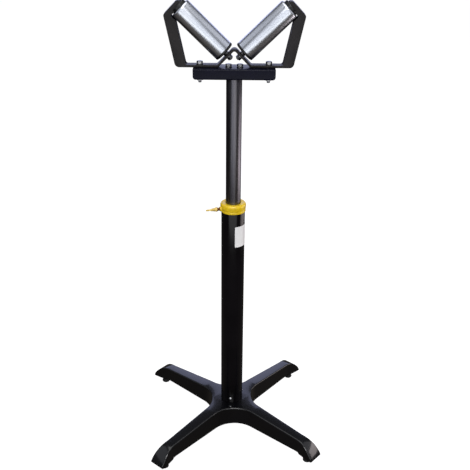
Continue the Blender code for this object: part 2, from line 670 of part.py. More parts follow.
def make_beam():
    """The hollow cross beam, with its lower corners rounded off at both ends."""
    half = BEAM_WIDTH / 2
    outer = rounded([(-half, BEAM_FOOT, BEAM_CORNER), (half, BEAM_FOOT, BEAM_CORNER),
                     (half, BEAM_TOP, BEAM_CORNER), (-half, BEAM_TOP, BEAM_CORNER)], 4)
    inside = half - BEAM_WALL
    floor = BEAM_FOOT + BEAM_WALL
    roof = BEAM_TOP - BEAM_WALL
    corner = max(BEAM_CORNER - BEAM_WALL, FIT)
    inner = rounded([(-inside, floor, corner), (inside, floor, corner),
                     (inside, roof, corner), (-inside, roof, corner)], 1)
    end = BEAM_LENGTH / 2
    shape = extruded(outer, -end - OVERRUN, end + OVERRUN, "YZ")
    front = rounded([(-end, BEAM_FOOT, BEAM_CLIP), (end, BEAM_FOOT, BEAM_CLIP),
                     (end, BEAM_TOP, BEAM_TOP_CLIP), (-end, BEAM_TOP, BEAM_TOP_CLIP)])
    shape = joined(shape, extruded(front, -half - OVERRUN, half + OVERRUN), "INTERSECT")
    shape = cut(shape, extruded(inner, -end - OVERRUN, end + OVERRUN, "YZ"))
    shape = cut(shape, rod(MAST_RADIUS + FIT, BEAM_FOOT - OVERRUN, floor + OVERRUN, ROUND))
    for side in (-1, 1):
        through = rod(THREAD_RADIUS + FIT, BEAM_FOOT - OVERRUN, BEAM_TOP + OVERRUN)
        shape = cut(shape, placed(through, Matrix.Translation((side * BOLT_OFFSET, 0, 0))))
        upper = rod(THREAD_RADIUS + FIT, roof - OVERRUN, BEAM_TOP + OVERRUN)
        shape = cut(shape, placed(upper, Matrix.Translation((side * FLANGE_BOLT_OFFSET, 0, 0))))
    to_object("head_beam", shape, "beam_paint")


def axis_point(along, across):
    """A point of the bracket's front view, from its place along and below the roller axis."""
    place = ALONG * along + ACROSS * across
    return Vector((place.x, VERTEX + place.z))


def crossing(point, direction, other, other_direction):
    """Where two lines in the front view meet."""
    cross = direction.cross(other_direction)
    run = (other - point).cross(other_direction) / cross
    return point + direction * run


def bracket_corners():
    """The right half of the bracket's front view, from the peak round to its underside."""
    level = Vector((1.0, 0.0))
    axis = Vector((ALONG.x, ALONG.z))
    square = Vector((ACROSS.x, ACROSS.z))
    arm = Vector((math.sin(ARM_LEAN), math.cos(ARM_LEAN)))
    arm_in = Vector((-math.cos(ARM_LEAN), math.sin(ARM_LEAN)))
    upright = Vector((0.0, 1.0))
    middle = Vector((0.0, VERTEX))
    flange_inside = BAR_WIDTH / 2 - BAR_THICKNESS
    roller_clear = math.sqrt(ROLLER_RADIUS ** 2 - flange_inside ** 2) + RUN
    outer_corner = axis_point(PLATE_BACK, PLATE_FOOT)
    inner_arm = outer_corner + arm_in * ARM_FLANGE
    bar_top = Vector((0.0, BAR_TOP))
    bar_foot = Vector((0.0, BAR_FOOT))
    leg_top = axis_point(LEG_FACE, 0.0)
    leg_under = axis_point(LEG_FACE - BAR_THICKNESS, 0.0)
    edge = PLATE_BACK - PLATE_FLANGE
    peak = crossing(middle, upright, leg_top, square)
    under = crossing(middle, upright, leg_under, square)
    corners = [
        (crossing(bar_top, level, leg_top, square), LEG_BEND),
        (crossing(bar_top, level, inner_arm, arm), ARM_FILLET),
        (crossing(inner_arm, arm, axis_point(0.0, roller_clear), axis), STEP_ROUND),
        (axis_point(edge, roller_clear), STEP_ROUND),
        (axis_point(edge, -PLATE_TOP), TIP_CORNER),
        (axis_point(PLATE_BACK, -PLATE_TOP), TIP_ROUND),
        (outer_corner, CORNER_BEND),
        (crossing(bar_foot, level, outer_corner, arm), ARM_BEND),
        (crossing(bar_foot, level, leg_under, square), LEG_BEND + BAR_THICKNESS),
    ]
    right = [(point.x, point.y, radius) for point, radius in corners]
    left = [(-x, z, radius) for x, z, radius in reversed(right)]
    return [(0.0, peak.y, PEAK_BEND)] + right + [(0.0, under.y, PEAK_BEND - BAR_THICKNESS)] + left


def bracket_pocket():
    """The space between the flanges of the right arm, inside its web."""
    arm = Vector((math.sin(ARM_LEAN), math.cos(ARM_LEAN)))
    arm_in = Vector((-math.cos(ARM_LEAN), math.sin(ARM_LEAN)))
    square = Vector((ACROSS.x, ACROSS.z))
    web = axis_point(PLATE_BACK, PLATE_FOOT) + arm_in * BAR_THICKNESS
    bar_top = Vector((0.0, BAR_TOP))
    plate = axis_point(PLATE_FACE, 0.0)
    heel = crossing(bar_top, Vector((1.0, 0.0)), web, arm)
    past_tip = -PLATE_TOP - OVERRUN
    past_edge = PLATE_BACK - PLATE_FLANGE - OVERRUN
    corners = [
        (heel - Vector((ARM_FLANGE + OVERRUN, 0.0)), 0.0),
        (heel, ARM_BEND - BAR_THICKNESS),
        (crossing(web, arm, plate, square), STEP_ROUND),
        (axis_point(PLATE_FACE, past_tip), 0.0),
        (axis_point(past_edge, past_tip), 0.0),
    ]
    return rounded([(point.x, point.y, radius) for point, radius in corners])


def make_bracket():
    """The W-shaped bracket: one bent bar, flanged along its arms and end plates."""
    half = BAR_WIDTH / 2
    shape = extruded(rounded(bracket_corners()), -half, half)
    inside = half - BAR_THICKNESS
    pocket = bracket_pocket()
    tilt = Matrix.Rotation(math.pi / 2 - ROLLER_TILT, 4, "Y")
    for side in (-1, 1):
        mirror = Matrix.Diagonal((side, 1, 1, 1))
        shape = cut(shape, placed(extruded(pocket, -inside, inside), mirror))
        bolt = rod(THREAD_RADIUS + FIT, BAR_FOOT - OVERRUN, BAR_TOP + OVERRUN)
        shape = cut(shape, placed(bolt, Matrix.Translation((side * BOLT_OFFSET, 0, 0))))
        upper = rod(AXLE_RADIUS + FIT, PLATE_FACE - OVERRUN, PLATE_BACK + OVERRUN)
        lower = rod(THREAD_RADIUS + FIT, LEG_FACE - BAR_THICKNESS - OVERRUN, LEG_FACE + OVERRUN)
        for hole in (upper, lower):
            shape = cut(shape, placed(hole, tilt, Matrix.Translation((0, 0, VERTEX)), mirror))
    to_object("roller_frame", shape, "bracket_paint")


def make_frame_fastenings():
    """Bolts, washers and nuts that hold the bracket on the beam and the beam on the mast."""
    zinc = "bright_zinc"
    washer_foot = BAR_TOP + FIT
    head_foot = washer_foot + WASHER_HEIGHT + FIT
    nut_top = BEAM_FOOT - FIT
    tail = nut_top - NUT_HEIGHT - BOLT_TAIL
    hole = THREAD_RADIUS + FIT
    for side, name in ((-1, "left"), (1, "right")):
        place = Matrix.Translation((side * BOLT_OFFSET, 0, 0))
        bolt = joined(hexagon(HEX_FLATS, head_foot, head_foot + HEAD_HEIGHT),
                      rod(THREAD_RADIUS, tail, head_foot + HEX_CHAMFER, SMALL, AXLE_EDGE))
        to_object("frame_bolt_" + name, placed(bolt, place), zinc)
        washer = pipe(hole, WASHER_RADIUS, washer_foot, washer_foot + WASHER_HEIGHT, SMALL)
        to_object("frame_washer_" + name, placed(washer, place), zinc)
        nut = cut(hexagon(HEX_FLATS, nut_top - NUT_HEIGHT, nut_top),
                  rod(hole, nut_top - NUT_HEIGHT - OVERRUN, nut_top + OVERRUN))
        to_object("frame_nut_" + name, placed(nut, place), zinc)
        seat = BEAM_TOP + FIT
        lip = seat + FLANGE_HEAD_LIP
        tip = FLANGE_TOP - FLANGE_BOLT_GRIP
        bolt = joined(hexagon(HEX_FLATS, seat, lip + HEAD_HEIGHT),
                      turned([(0.0, tip), (THREAD_RADIUS, tip), (THREAD_RADIUS, seat),
                              (FLANGE_HEAD_RADIUS, seat), (FLANGE_HEAD_RADIUS, lip), (0.0, lip)], SMALL))
        place = Matrix.Translation((side * FLANGE_BOLT_OFFSET, 0, 0))
        to_object("flange_bolt_" + name, placed(bolt, place), zinc)


def race_groove(pitch, side):
    """Points of a ball groove: side is +1 for the outer race and -1 for the inner one."""
    groove = BALL_RADIUS + GROOVE_PLAY
    shoulder = BEARING_RADIUS - RACE_DEPTH
    if side < 0:
        shoulder = AXLE_RADIUS + FIT + RACE_DEPTH
    reach = abs(shoulder - pitch)
    limit = math.acos(min(1.0, reach / groove))
    return [(pitch + side * groove * math.cos(angle), groove * math.sin(angle))
            for angle in (-limit, 0.0, limit)]


def make_bearing(axis, centre, name):
    """One ball bearing of a roller: both races, and the balls in their cage."""
    steel = "bearing_steel"
    bore = AXLE_RADIUS + FIT
    half = BEARING_WIDTH / 2
    pitch = (bore + BEARING_RADIUS) / 2
    inner = bore + RACE_DEPTH
    outline = [(bore, -half), (inner, -half)] + race_groove(pitch, -1) + [(inner, half), (bore, half)]
    to_object("inner_race_" + name, turned(outline, MEDIUM, centre), steel, axis)
    outer = BEARING_RADIUS - RACE_DEPTH
    outline = [(outer, -half), (BEARING_RADIUS, -half), (BEARING_RADIUS, half), (outer, half)]
    outline += race_groove(pitch, 1)[::-1]
    to_object("outer_race_" + name, turned(outline, MEDIUM, centre), steel, axis)
    cage = pipe(pitch - CAGE_THICKNESS / 2, pitch + CAGE_THICKNESS / 2,
                -CAGE_WIDTH / 2, CAGE_WIDTH / 2, BALL_COUNT * 2)
    for ball in range(BALL_COUNT):
        shape = bmesh.new()
        bmesh.ops.create_uvsphere(shape, u_segments=BALL_SIDES, v_segments=BALL_RINGS,
                                  radius=BALL_RADIUS)
        turn = Matrix.Rotation(math.tau * (ball + BALL_PHASE_SHARE) / BALL_COUNT, 4, "Z")
        cage = joined(cage, placed(shape, Matrix.Translation((pitch, 0, 0)), turn))
    placed(cage, Matrix.Translation((0, 0, centre)))
    to_object("ball_cage_" + name, cage, steel, axis)


def make_end_cap(axis, face, inward, name):
    """A black end cap: a rounded rim outside the tube, and a plug that holds the bearing."""
    bore = BEARING_RADIUS + FIT
    plug = ROLLER_RADIUS - ROLLER_WALL - FIT
    rim = ROLLER_RADIUS
    bevel = CAP_ROUND * (1 - math.sqrt(0.5))
    outline = [(CAP_HOLE_RADIUS, 0.0), (rim - CAP_ROUND, 0.0), (rim - bevel, bevel), (rim, CAP_ROUND),
               (rim, CAP_SHOWN), (plug, CAP_SHOWN), (plug, CAP_SHOWN + CAP_PLUG),
                (bore, CAP_SHOWN + CAP_PLUG), (bore, CAP_WALL), (CAP_HOLE_RADIUS, CAP_WALL)]
    outline = [(radius, face + inward * depth) for radius, depth in outline]
    to_object("end_cap_" + name, turned(outline, ROLLER), "black_plastic", axis)


def make_roller(side, name):
    """One roller on its axle, with everything that seats and locks it."""
    tilt = Matrix.Rotation(side * (math.pi / 2 - ROLLER_TILT), 4, "Y")
    axis = axis_empty("roller_axis_" + name, (0, 0, VERTEX), tilt)
    start = ROLLER_START + CAP_SHOWN + FIT
    end = ROLLER_END - CAP_SHOWN - FIT
    edge = ROLLER_EDGE
    bore = ROLLER_RADIUS - ROLLER_WALL
    tube = turned([(bore, start), (ROLLER_RADIUS - edge, start), (ROLLER_RADIUS, start + edge),
                   (ROLLER_RADIUS, end - edge), (ROLLER_RADIUS - edge, end), (bore, end)], ROLLER)
    to_object("roller_tube_" + name, tube, "roller_zinc", axis)
    seat = CAP_WALL + FIT + BEARING_WIDTH / 2
    make_end_cap(axis, ROLLER_START, 1, name + "_lower")
    make_end_cap(axis, ROLLER_END, -1, name + "_upper")
    make_bearing(axis, ROLLER_START + seat, name + "_lower")
    make_bearing(axis, ROLLER_END - seat, name + "_upper")
    zinc = "bright_zinc"
    inner_face = ROLLER_START + CAP_WALL + FIT
    outer_face = ROLLER_END - CAP_WALL - FIT
    leg_under = LEG_FACE - BAR_THICKNESS
    washer_top = leg_under - FIT
    nut_top = washer_top - WASHER_HEIGHT - FIT
    nut_foot = nut_top - NUT_HEIGHT
    shoulder = inner_face
    tail = nut_foot - AXLE_TAIL
    chamfer = AXLE_EDGE
    axle = turned([(0.0, tail), (THREAD_RADIUS - chamfer, tail), (THREAD_RADIUS, tail + chamfer),
                   (THREAD_RADIUS, shoulder), (AXLE_RADIUS, shoulder), (AXLE_RADIUS, PLATE_BACK - chamfer),
                   (AXLE_RADIUS - chamfer, PLATE_BACK), (0.0, PLATE_BACK)], SMALL)
    to_object("axle_" + name, axle, zinc, axis)
    hole = THREAD_RADIUS + FIT
    sleeve = AXLE_RADIUS + FIT
    spacer = pipe(sleeve, sleeve + SPACER_WALL, outer_face + FIT, PLATE_FACE - FIT, SMALL)
    to_object("axle_spacer_" + name, spacer, zinc, axis)
    hexed = cut(hexagon(HEX_FLATS, LEG_FACE + FIT, inner_face - FIT),
                rod(hole, LEG_FACE - OVERRUN, inner_face + OVERRUN))
    to_object("hex_spacer_" + name, hexed, zinc, axis)
    washer = pipe(hole, WASHER_RADIUS, washer_top - WASHER_HEIGHT, washer_top, SMALL)
    to_object("axle_washer_" + name, washer, zinc, axis)
    nut = cut(hexagon(HEX_FLATS, nut_foot, nut_top), rod(hole, nut_foot - OVERRUN, nut_top + OVERRUN))
    to_object("axle_nut_" + name, nut, zinc, axis)


def main():
    clear_scene()
    stand = axis_empty("stand_axis", (0, 0, 0), Matrix.Rotation(BASE_TURN, 4, "Z"))
    make_base(stand)
    make_feet(stand)
    make_column()
    make_collar()
    make_wing_screw()
    make_mast()
    make_beam()
    make_bracket()
    make_frame_fastenings()
    make_roller(-1, "left")
    make_roller(1, "right")


main()
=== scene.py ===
import json
import math

import bmesh
import bpy
from mathutils import Matrix, Vector


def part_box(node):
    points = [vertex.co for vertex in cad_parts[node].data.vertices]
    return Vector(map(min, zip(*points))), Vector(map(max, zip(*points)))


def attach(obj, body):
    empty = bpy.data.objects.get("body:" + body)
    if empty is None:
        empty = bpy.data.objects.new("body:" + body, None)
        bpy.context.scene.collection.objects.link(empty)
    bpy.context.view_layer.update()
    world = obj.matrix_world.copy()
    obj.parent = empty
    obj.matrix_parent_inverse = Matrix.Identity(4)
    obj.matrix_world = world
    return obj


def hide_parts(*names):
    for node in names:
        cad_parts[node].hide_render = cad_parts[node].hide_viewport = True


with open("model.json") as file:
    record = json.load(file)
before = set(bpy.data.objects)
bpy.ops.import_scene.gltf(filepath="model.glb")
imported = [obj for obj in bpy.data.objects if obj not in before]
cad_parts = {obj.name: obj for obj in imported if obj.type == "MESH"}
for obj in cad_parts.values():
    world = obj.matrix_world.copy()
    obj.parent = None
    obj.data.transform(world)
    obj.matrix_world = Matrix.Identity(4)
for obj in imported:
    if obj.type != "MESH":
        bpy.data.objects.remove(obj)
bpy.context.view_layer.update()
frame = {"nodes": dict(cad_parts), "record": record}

print("frame loaded:", len(frame["nodes"]), "nodes")

fit = 0.0003      # clearance that the CAD keeps between seated faces
weld = 0.000005   # points closer than this are merged
over = 0.002      # how far a cutter runs past the face it cuts
crisp = 0.0003    # corner radii: a broken edge,
fine = 0.0004     # a turned or moulded corner,
soft = 0.0006     # a softened one
rounded = 0.0008  # and a rounded one
upAxis = Vector((0, 0, 1))
floorPoint = Vector((0, 0, 0))


# Shapes

def nodeReach(node, origin=floorPoint, direction=upAxis):
    # start and end of a CAD node along an axis, and its smallest and largest radius about it
    runs = []
    radii = []
    for vertex in frame["nodes"][node].data.vertices:
        offset = vertex.co - origin
        run = offset.dot(direction)
        runs.append(run)
        radii.append((offset - direction * run).length)
    return min(runs), max(runs), min(radii), max(radii)


def roundOff(corners, steps=6):
    # closed outline from (x, y, radius) corners, each one rounded with an arc
    points = []
    for i, (x, y, radius) in enumerate(corners):
        here = Vector((x, y))
        back = (Vector(corners[i - 1][:2]) - here).normalized()
        ahead = (Vector(corners[(i + 1) % len(corners)][:2]) - here).normalized()
        half = back.angle(ahead) / 2
        if radius == 0 or half > math.radians(89):
            points.append((x, y))
            continue
        run = radius / math.tan(half)
        centre = here + (back + ahead).normalized() * (radius / math.sin(half))
        first = here + back * run - centre
        sweep = first.angle_signed(here + ahead * run - centre)
        for step in range(steps + 1):
            spot = centre + Matrix.Rotation(-sweep * step / steps, 2) @ first
            points.append((spot.x, spot.y))
    return points


def faceOutward(shape):
    bmesh.ops.recalc_face_normals(shape, faces=shape.faces)


def mergePoints(shape, distance=weld):
    bmesh.ops.remove_doubles(shape, verts=shape.verts, dist=distance)


def addRing(shape, points):
    # a closed loop: its points and its edges
    ring = [shape.verts.new(point) for point in points]
    return ring, [shape.edges.new((ring[i - 1], ring[i])) for i in range(len(ring))]


def turnShape(outline, sides):
    # spin a closed outline of (radius, height) points about Z
    shape = bmesh.new()
    ring, edges = addRing(shape, [(radius, 0, height) for radius, height in outline])
    bmesh.ops.spin(shape, geom=ring + edges, cent=(0, 0, 0), axis=(0, 0, 1),
                   angle=math.tau, steps=sides, use_merge=True)
    mergePoints(shape)
    loose = [edge for edge in shape.edges if not edge.link_faces]
    bmesh.ops.delete(shape, geom=loose, context="EDGES")
    faceOutward(shape)
    return shape


def rodShape(radius, start, end, sides):
    return turnShape([(0, start), (radius, start), (radius, end), (0, end)], sides)


def sleeveShape(node, origin=floorPoint, direction=upAxis, edge=crisp, sides=48):
    # a tube, ring or washer with broken edges, where the CAD has it
    start, end, inner, outer = nodeReach(node, origin, direction)
    corners = [(inner, start, edge), (outer, start, edge), (outer, end, edge), (inner, end, edge)]
    return turnShape(roundOff(corners, steps=3), sides)


def slabShape(outline, depth, bevel=0, segments=2):
    # extrude a front view of (x, z) points to both sides of Y = 0, and soften its rims
    shape = bmesh.new()
    cap = shape.faces.new([shape.verts.new((x, -depth / 2, z)) for x, z in outline])
    grown = bmesh.ops.extrude_face_region(shape, geom=[cap])["geom"]
    moved = [item for item in grown if isinstance(item, bmesh.types.BMVert)]
    bmesh.ops.translate(shape, verts=moved, vec=(0, depth, 0))
    faceOutward(shape)
    if bevel:
        rims = [edge for edge in shape.edges if abs(edge.verts[0].co.y - edge.verts[1].co.y) < weld]
        bmesh.ops.bevel(shape, geom=rims, offset=bevel, affect="EDGES", segments=segments,
                        profile=0.5, material=-1)
    return shape


def move(shape, *steps):
    for step in steps:
        bmesh.ops.transform(shape, matrix=step, verts=shape.verts)
    return shape


def turnZ(degrees):
    return Matrix.Rotation(math.radians(degrees), 4, "Z")


def alongAxis(origin, direction):
    # takes Z to an axis in space
    return Matrix.Translation(origin) @ direction.to_track_quat("Z", "Y").to_matrix().to_4x4()


def toMesh(name, shape):
    mesh = bpy.data.meshes.new(name)
    shape.to_mesh(mesh)
    shape.free()
    piece = bpy.data.objects.new(name, mesh)
    bpy.context.scene.collection.objects.link(piece)
    return piece


def combine(shape, other, operation="UNION"):
    # join, cut or intersect two closed shapes
    first = toMesh("first", shape)
    second = toMesh("second", other)
    step = first.modifiers.new("combine", "BOOLEAN")
    step.operation = operation
    step.solver = "EXACT"
    step.object = second
    graph = bpy.context.evaluated_depsgraph_get()
    graph.update()
    result = bmesh.new()
    result.from_mesh(first.evaluated_get(graph).to_mesh())
    for item in (first, second):
        mesh = item.data
        bpy.data.objects.remove(item)
        bpy.data.meshes.remove(mesh)
    mergePoints(result)
    return result


def cut(shape, other):
    return combine(shape, other, "DIFFERENCE")


def finishPiece(name, shape, body, look, replaced=(), sharp=32):
    # a named piece, smooth where it is round, that rides on its body
    mergePoints(shape)
    faceOutward(shape)
    piece = toMesh(name, shape)
    piece.data.materials.append(looks[look])
    piece.data.shade_smooth()
    piece.data.set_sharp_from_angle(angle=math.radians(sharp))
    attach(piece, body)
    if replaced:
        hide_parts(*replaced)


def finishFastener(name, shape, place, node, body="head", look="zincFastener"):
    finishPiece(name, move(shape, place), body, look, [node])


# Finishes

def startLook(name):
    look = bpy.data.materials.new(name)
    look.use_nodes = True
    return look, look.node_tree.nodes, look.node_tree.links


def setInputs(node, values):
    for name, value in values.items():
        node.inputs[name].default_value = value


def noiseNode(nodes, links, place, scale, detail, stretch, turn=(0, 0, 0)):
    # noise in the object's own metres, stretched and turned on a Mapping node
    mapping = nodes.new("ShaderNodeMapping")
    setInputs(mapping, {"Scale": stretch, "Rotation": turn})
    noise = nodes.new("ShaderNodeTexNoise")
    setInputs(noise, {"Scale": scale, "Detail": detail})
    links.new(place.outputs["Object"], mapping.inputs["Vector"])
    links.new(mapping.outputs["Vector"], noise.inputs["Vector"])
    return noise.outputs["Fac"]


def colourFrom(nodes, links, source, stops):
    # base colour from a ramp between (place, colour) stops
    ramp = nodes.new("ShaderNodeValToRGB")
    while len(ramp.color_ramp.elements) < len(stops):
        ramp.color_ramp.elements.new(0.5)
    for element, (spot, colour) in zip(ramp.color_ramp.elements, stops):
        element.position = spot
        element.color = (*colour, 1)
    links.new(source, ramp.inputs["Fac"])
    links.new(ramp.outputs["Color"], nodes["Principled BSDF"].inputs["Base Color"])


def grainFrom(nodes, links, source, spread, rough, bump):
    # roughness and a faint relief from one noise; bump: strength and depth in metres
    remap = nodes.new("ShaderNodeMapRange")
    setInputs(remap, {"From Min": spread[0], "From Max": spread[1], "To Min": rough[0], "To Max": rough[1]})
    relief = nodes.new("ShaderNodeBump")
    setInputs(relief, {"Strength": bump[0], "Distance": bump[1]})
    links.new(source, remap.inputs["Value"])
    links.new(source, relief.inputs["Height"])
    links.new(remap.outputs["Result"], nodes["Principled BSDF"].inputs["Roughness"])
    links.new(relief.outputs["Normal"], nodes["Principled BSDF"].inputs["Normal"])


def surfaceLook(name, tones, patch, grain, rough, bump, metallic=0, coat=0, coatRough=0.1,
                specular=0.5, patchStretch=(1, 1, 1), grainStretch=(1, 1, 1), spread=(0.3, 0.7)):
    # patch: colour drift, and grain: fine texture, each with its scale and detail
    look, nodes, links = startLook(name)
    place = nodes.new("ShaderNodeTexCoord")
    colourFrom(nodes, links, noiseNode(nodes, links, place, *patch, patchStretch), tones)
    grainFrom(nodes, links, noiseNode(nodes, links, place, *grain, grainStretch), spread, rough, bump)
    setInputs(nodes["Principled BSDF"], {"Metallic": metallic, "Coat Weight": coat,
                                         "Coat Roughness": coatRough, "Specular IOR Level": specular})
    return look


finishes = {
    # the faint blue in the base paint's tones is painted reflection of bluish light from above and behind
    "basePaint": dict(
        tones=[(0.3, (0.0012, 0.0012, 0.0018)), (0.75, (0.0030, 0.0030, 0.0046))],
        patch=(9, 5), grain=(260, 3), rough=(0.15, 0.21), bump=(0.02, 0.0002),
        coat=0.4, coatRough=0.06, specular=0.4),
    "columnPaint": dict(
        tones=[(0.3, (0.0022, 0.0018, 0.0026)), (0.75, (0.0052, 0.0044, 0.0058))],
        patch=(12, 4), grain=(420, 2), rough=(0.14, 0.20), bump=(0.02, 0.0002),
        coat=0.08, coatRough=0.08, specular=0.2),
    "beamPaint": dict(
        tones=[(0.3, (0.0022, 0.0022, 0.0085)), (0.75, (0.0045, 0.0045, 0.0150))],
        patch=(20, 4), grain=(520, 2), rough=(0.20, 0.30), bump=(0.04, 0.0002), specular=0.1),
    "framePaint": dict(
        tones=[(0.25, (0.0075, 0.0062, 0.0066)), (0.8, (0.0190, 0.0160, 0.0168))],
        patch=(26, 6), grain=(420, 3), rough=(0.30, 0.42), bump=(0.08, 0.0002), specular=0.22),
    "mastSteel": dict(
        tones=[(0.30, (0.070, 0.068, 0.082)), (0.5, (0.115, 0.112, 0.128)), (0.72, (0.175, 0.165, 0.175))],
        patch=(70, 6), patchStretch=(1, 1, 0.02), grain=(700, 3), grainStretch=(1, 1, 0.015),
        rough=(0.24, 0.40), bump=(0.08, 0.0001), metallic=1),
    "zincFastener": dict(
        tones=[(0.3, (0.26, 0.26, 0.28)), (0.7, (0.38, 0.38, 0.39))],
        patch=(160, 4), grain=(1400, 2), rough=(0.20, 0.34), bump=(0.06, 0.0001), metallic=1),
    "bearingSteel": dict(
        tones=[(0.3, (0.52, 0.53, 0.55)), (0.7, (0.66, 0.67, 0.69))],
        patch=(220, 3), grain=(1800, 2), rough=(0.10, 0.20), bump=(0.04, 0.0001), metallic=1),
    "plainSteel": dict(
        tones=[(0.3, (0.30, 0.30, 0.31)), (0.7, (0.42, 0.42, 0.43))],
        patch=(120, 5), grain=(1100, 3), rough=(0.30, 0.48), bump=(0.10, 0.0001), metallic=1),
    "collarYellow": dict(
        tones=[(0.3, (0.76, 0.50, 0.006)), (0.7, (0.88, 0.62, 0.018))],
        patch=(60, 4), grain=(500, 3), rough=(0.24, 0.34), bump=(0.03, 0.0002),
        coat=0.15, coatRough=0.2),
    "gripYellow": dict(
        tones=[(0.3, (0.78, 0.52, 0.10)), (0.7, (0.92, 0.72, 0.26))],
        patch=(90, 4), grain=(600, 3), rough=(0.28, 0.40), bump=(0.05, 0.0002),
        coat=0.1, coatRough=0.2),
    "gripBrass": dict(
        tones=[(0.3, (0.30, 0.14, 0.06)), (0.7, (0.56, 0.30, 0.13))],
        patch=(200, 4), grain=(1500, 2), rough=(0.24, 0.42), bump=(0.08, 0.0001), metallic=1),
    "capPlastic": dict(
        tones=[(0.3, (0.003, 0.003, 0.003)), (0.75, (0.008, 0.008, 0.009))],
        patch=(80, 3), grain=(1600, 2), rough=(0.30, 0.42), bump=(0.10, 0.0001), specular=0.4),
    "nylon": dict(
        tones=[(0.3, (0.60, 0.58, 0.50)), (0.7, (0.74, 0.72, 0.64))],
        patch=(70, 3), grain=(900, 2), rough=(0.40, 0.52), bump=(0.06, 0.0002)),
    "footRubber": dict(
        tones=[(0.3, (0.006, 0.006, 0.006)), (0.75, (0.016, 0.016, 0.017))],
        patch=(110, 4), grain=(1300, 4), rough=(0.60, 0.80), bump=(0.18, 0.0002)),
    "labelWhite": dict(
        tones=[(0.3, (0.86, 0.86, 0.86)), (0.7, (0.93, 0.93, 0.93))],
        patch=(45, 3), grain=(700, 3), rough=(0.32, 0.44), bump=(0.03, 0.0001),
        coat=0.2, coatRough=0.15),
}
looks = {name: surfaceLook(name, **values) for name, values in finishes.items()}
print("finishes made:", len(looks))


# Base: a hub with four hollow legs that run down at their ends

base = {
    "turn": 4.3, "legReach": 0.300, "endLength": 0.058, "scallop": 0.0735,
    "rootHalf": 0.018, "neckHalf": 0.0145, "tipHalf": 0.0215,
    "hubHeight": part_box("column_tube")[0][2] - fit, "neckHeight": 0.0628, "tipHeight": 0.0262,
    "tipRamp": 2.1, "rimHeight": 0.0255, "padDrop": 0.004, "padLength": 0.048, "padStep": 0.004,
    "draft": 0.0022, "cornerRadius": 0.004, "edgeRadius": 0.0035,
    "wall": 0.005, "roof": 0.007, "endWall": 0.012,
    "coreRadius": 0.060, "webReach": 0.163, "webThickness": 0.005,
    "coreBore": 0.016, "coreCap": 0.008, "spigotChamfer": 0.002,
    "bossRadius": 0.0095, "bossDrop": 0.0015, "bossSink": 0.002, "threadLength": 0.022,
    "slopeRun": 0.0004, "seamWeld": 0.00003,
    "edgeSteps": 5, "scallopSteps": 14, "slopeSteps": 8, "endSteps": 16, "cornerSteps": 5,
}
feet = {
    "inset": 0.0286, "radius": 0.0115, "topRadius": 0.0095, "height": 0.009,
    "hexFlats": 0.014, "hexHeight": 0.005, "threadRadius": 0.004,
    "edge": 0.0016, "edgeRise": 0.0017, "edgeRound": 0.0012,
    "bandDraw": 0.0002, "bandTop": 0.0042, "stepDraw": 0.0010, "stepTop": 0.0046,
}
legAngles = {"rear_right": 45, "rear_left": 135, "front_left": 225, "front_right": 315}
neckReach = base["legReach"] - base["endLength"]
scallopEnd = base["rootHalf"] + base["scallop"]
bossFoot = base["rimHeight"] - base["padDrop"] - base["bossDrop"]
footReach = base["legReach"] - feet["inset"]


def legHalfWidth(reach):
    if reach < scallopEnd:
        return scallopEnd - math.sqrt(base["scallop"] ** 2 - (scallopEnd - reach) ** 2)
    if reach < neckReach:
        share = (reach - scallopEnd) / (neckReach - scallopEnd)
        return base["rootHalf"] + (base["neckHalf"] - base["rootHalf"]) * share
    share = min(1, (reach - neckReach) / base["endLength"])
    return base["neckHalf"] + (base["tipHalf"] - base["neckHalf"]) * math.sin(share * math.pi / 2) ** 2


def legHeight(reach):
    if reach < scallopEnd:
        return base["hubHeight"]
    if reach < neckReach:
        share = (reach - scallopEnd) / (neckReach - scallopEnd)
        return base["hubHeight"] + (base["neckHeight"] - base["hubHeight"]) * share
    share = min(1, (reach - neckReach) / base["endLength"])
    return base["neckHeight"] + (base["tipHeight"] - base["neckHeight"]) * share ** base["tipRamp"]


def legSection(reach, hollow, inset=0):
    # closed ring of points round a leg: up one side, over, down, and back through its hollow
    run = base["slopeRun"]
    slope = 0 if inset else (legHalfWidth(reach + run) - legHalfWidth(reach)) / run
    if reach >= base["legReach"] - run:
        slope = 0
    outward = Vector((-slope, 1)).normalized()
    wall = Vector((reach, legHalfWidth(reach) - inset))
    rim = base["rimHeight"] - base["padDrop"] * min(1, max(
        0, (reach - base["legReach"] + base["padLength"]) / base["padStep"]))
    top = legHeight(reach)
    edge = base["edgeRadius"]
    foot = wall + outward * base["draft"]
    side = [(foot.x, foot.y, rim)]
    for step in range(base["edgeSteps"] + 1):
        angle = math.pi / 2 * step / base["edgeSteps"]
        spot = wall - outward * edge * (1 - math.cos(angle))
        side.append((spot.x, spot.y, top - edge * (1 - math.sin(angle))))
    inner = legHalfWidth(reach) - inset - base["wall"]
    roof = top - base["roof"] if hollow else rim
    ring = side + [(x, -y, z) for x, y, z in reversed(side)]
    return ring + [(reach, -inner, rim), (reach, -inner, roof), (reach, inner, roof), (reach, inner, rim)]


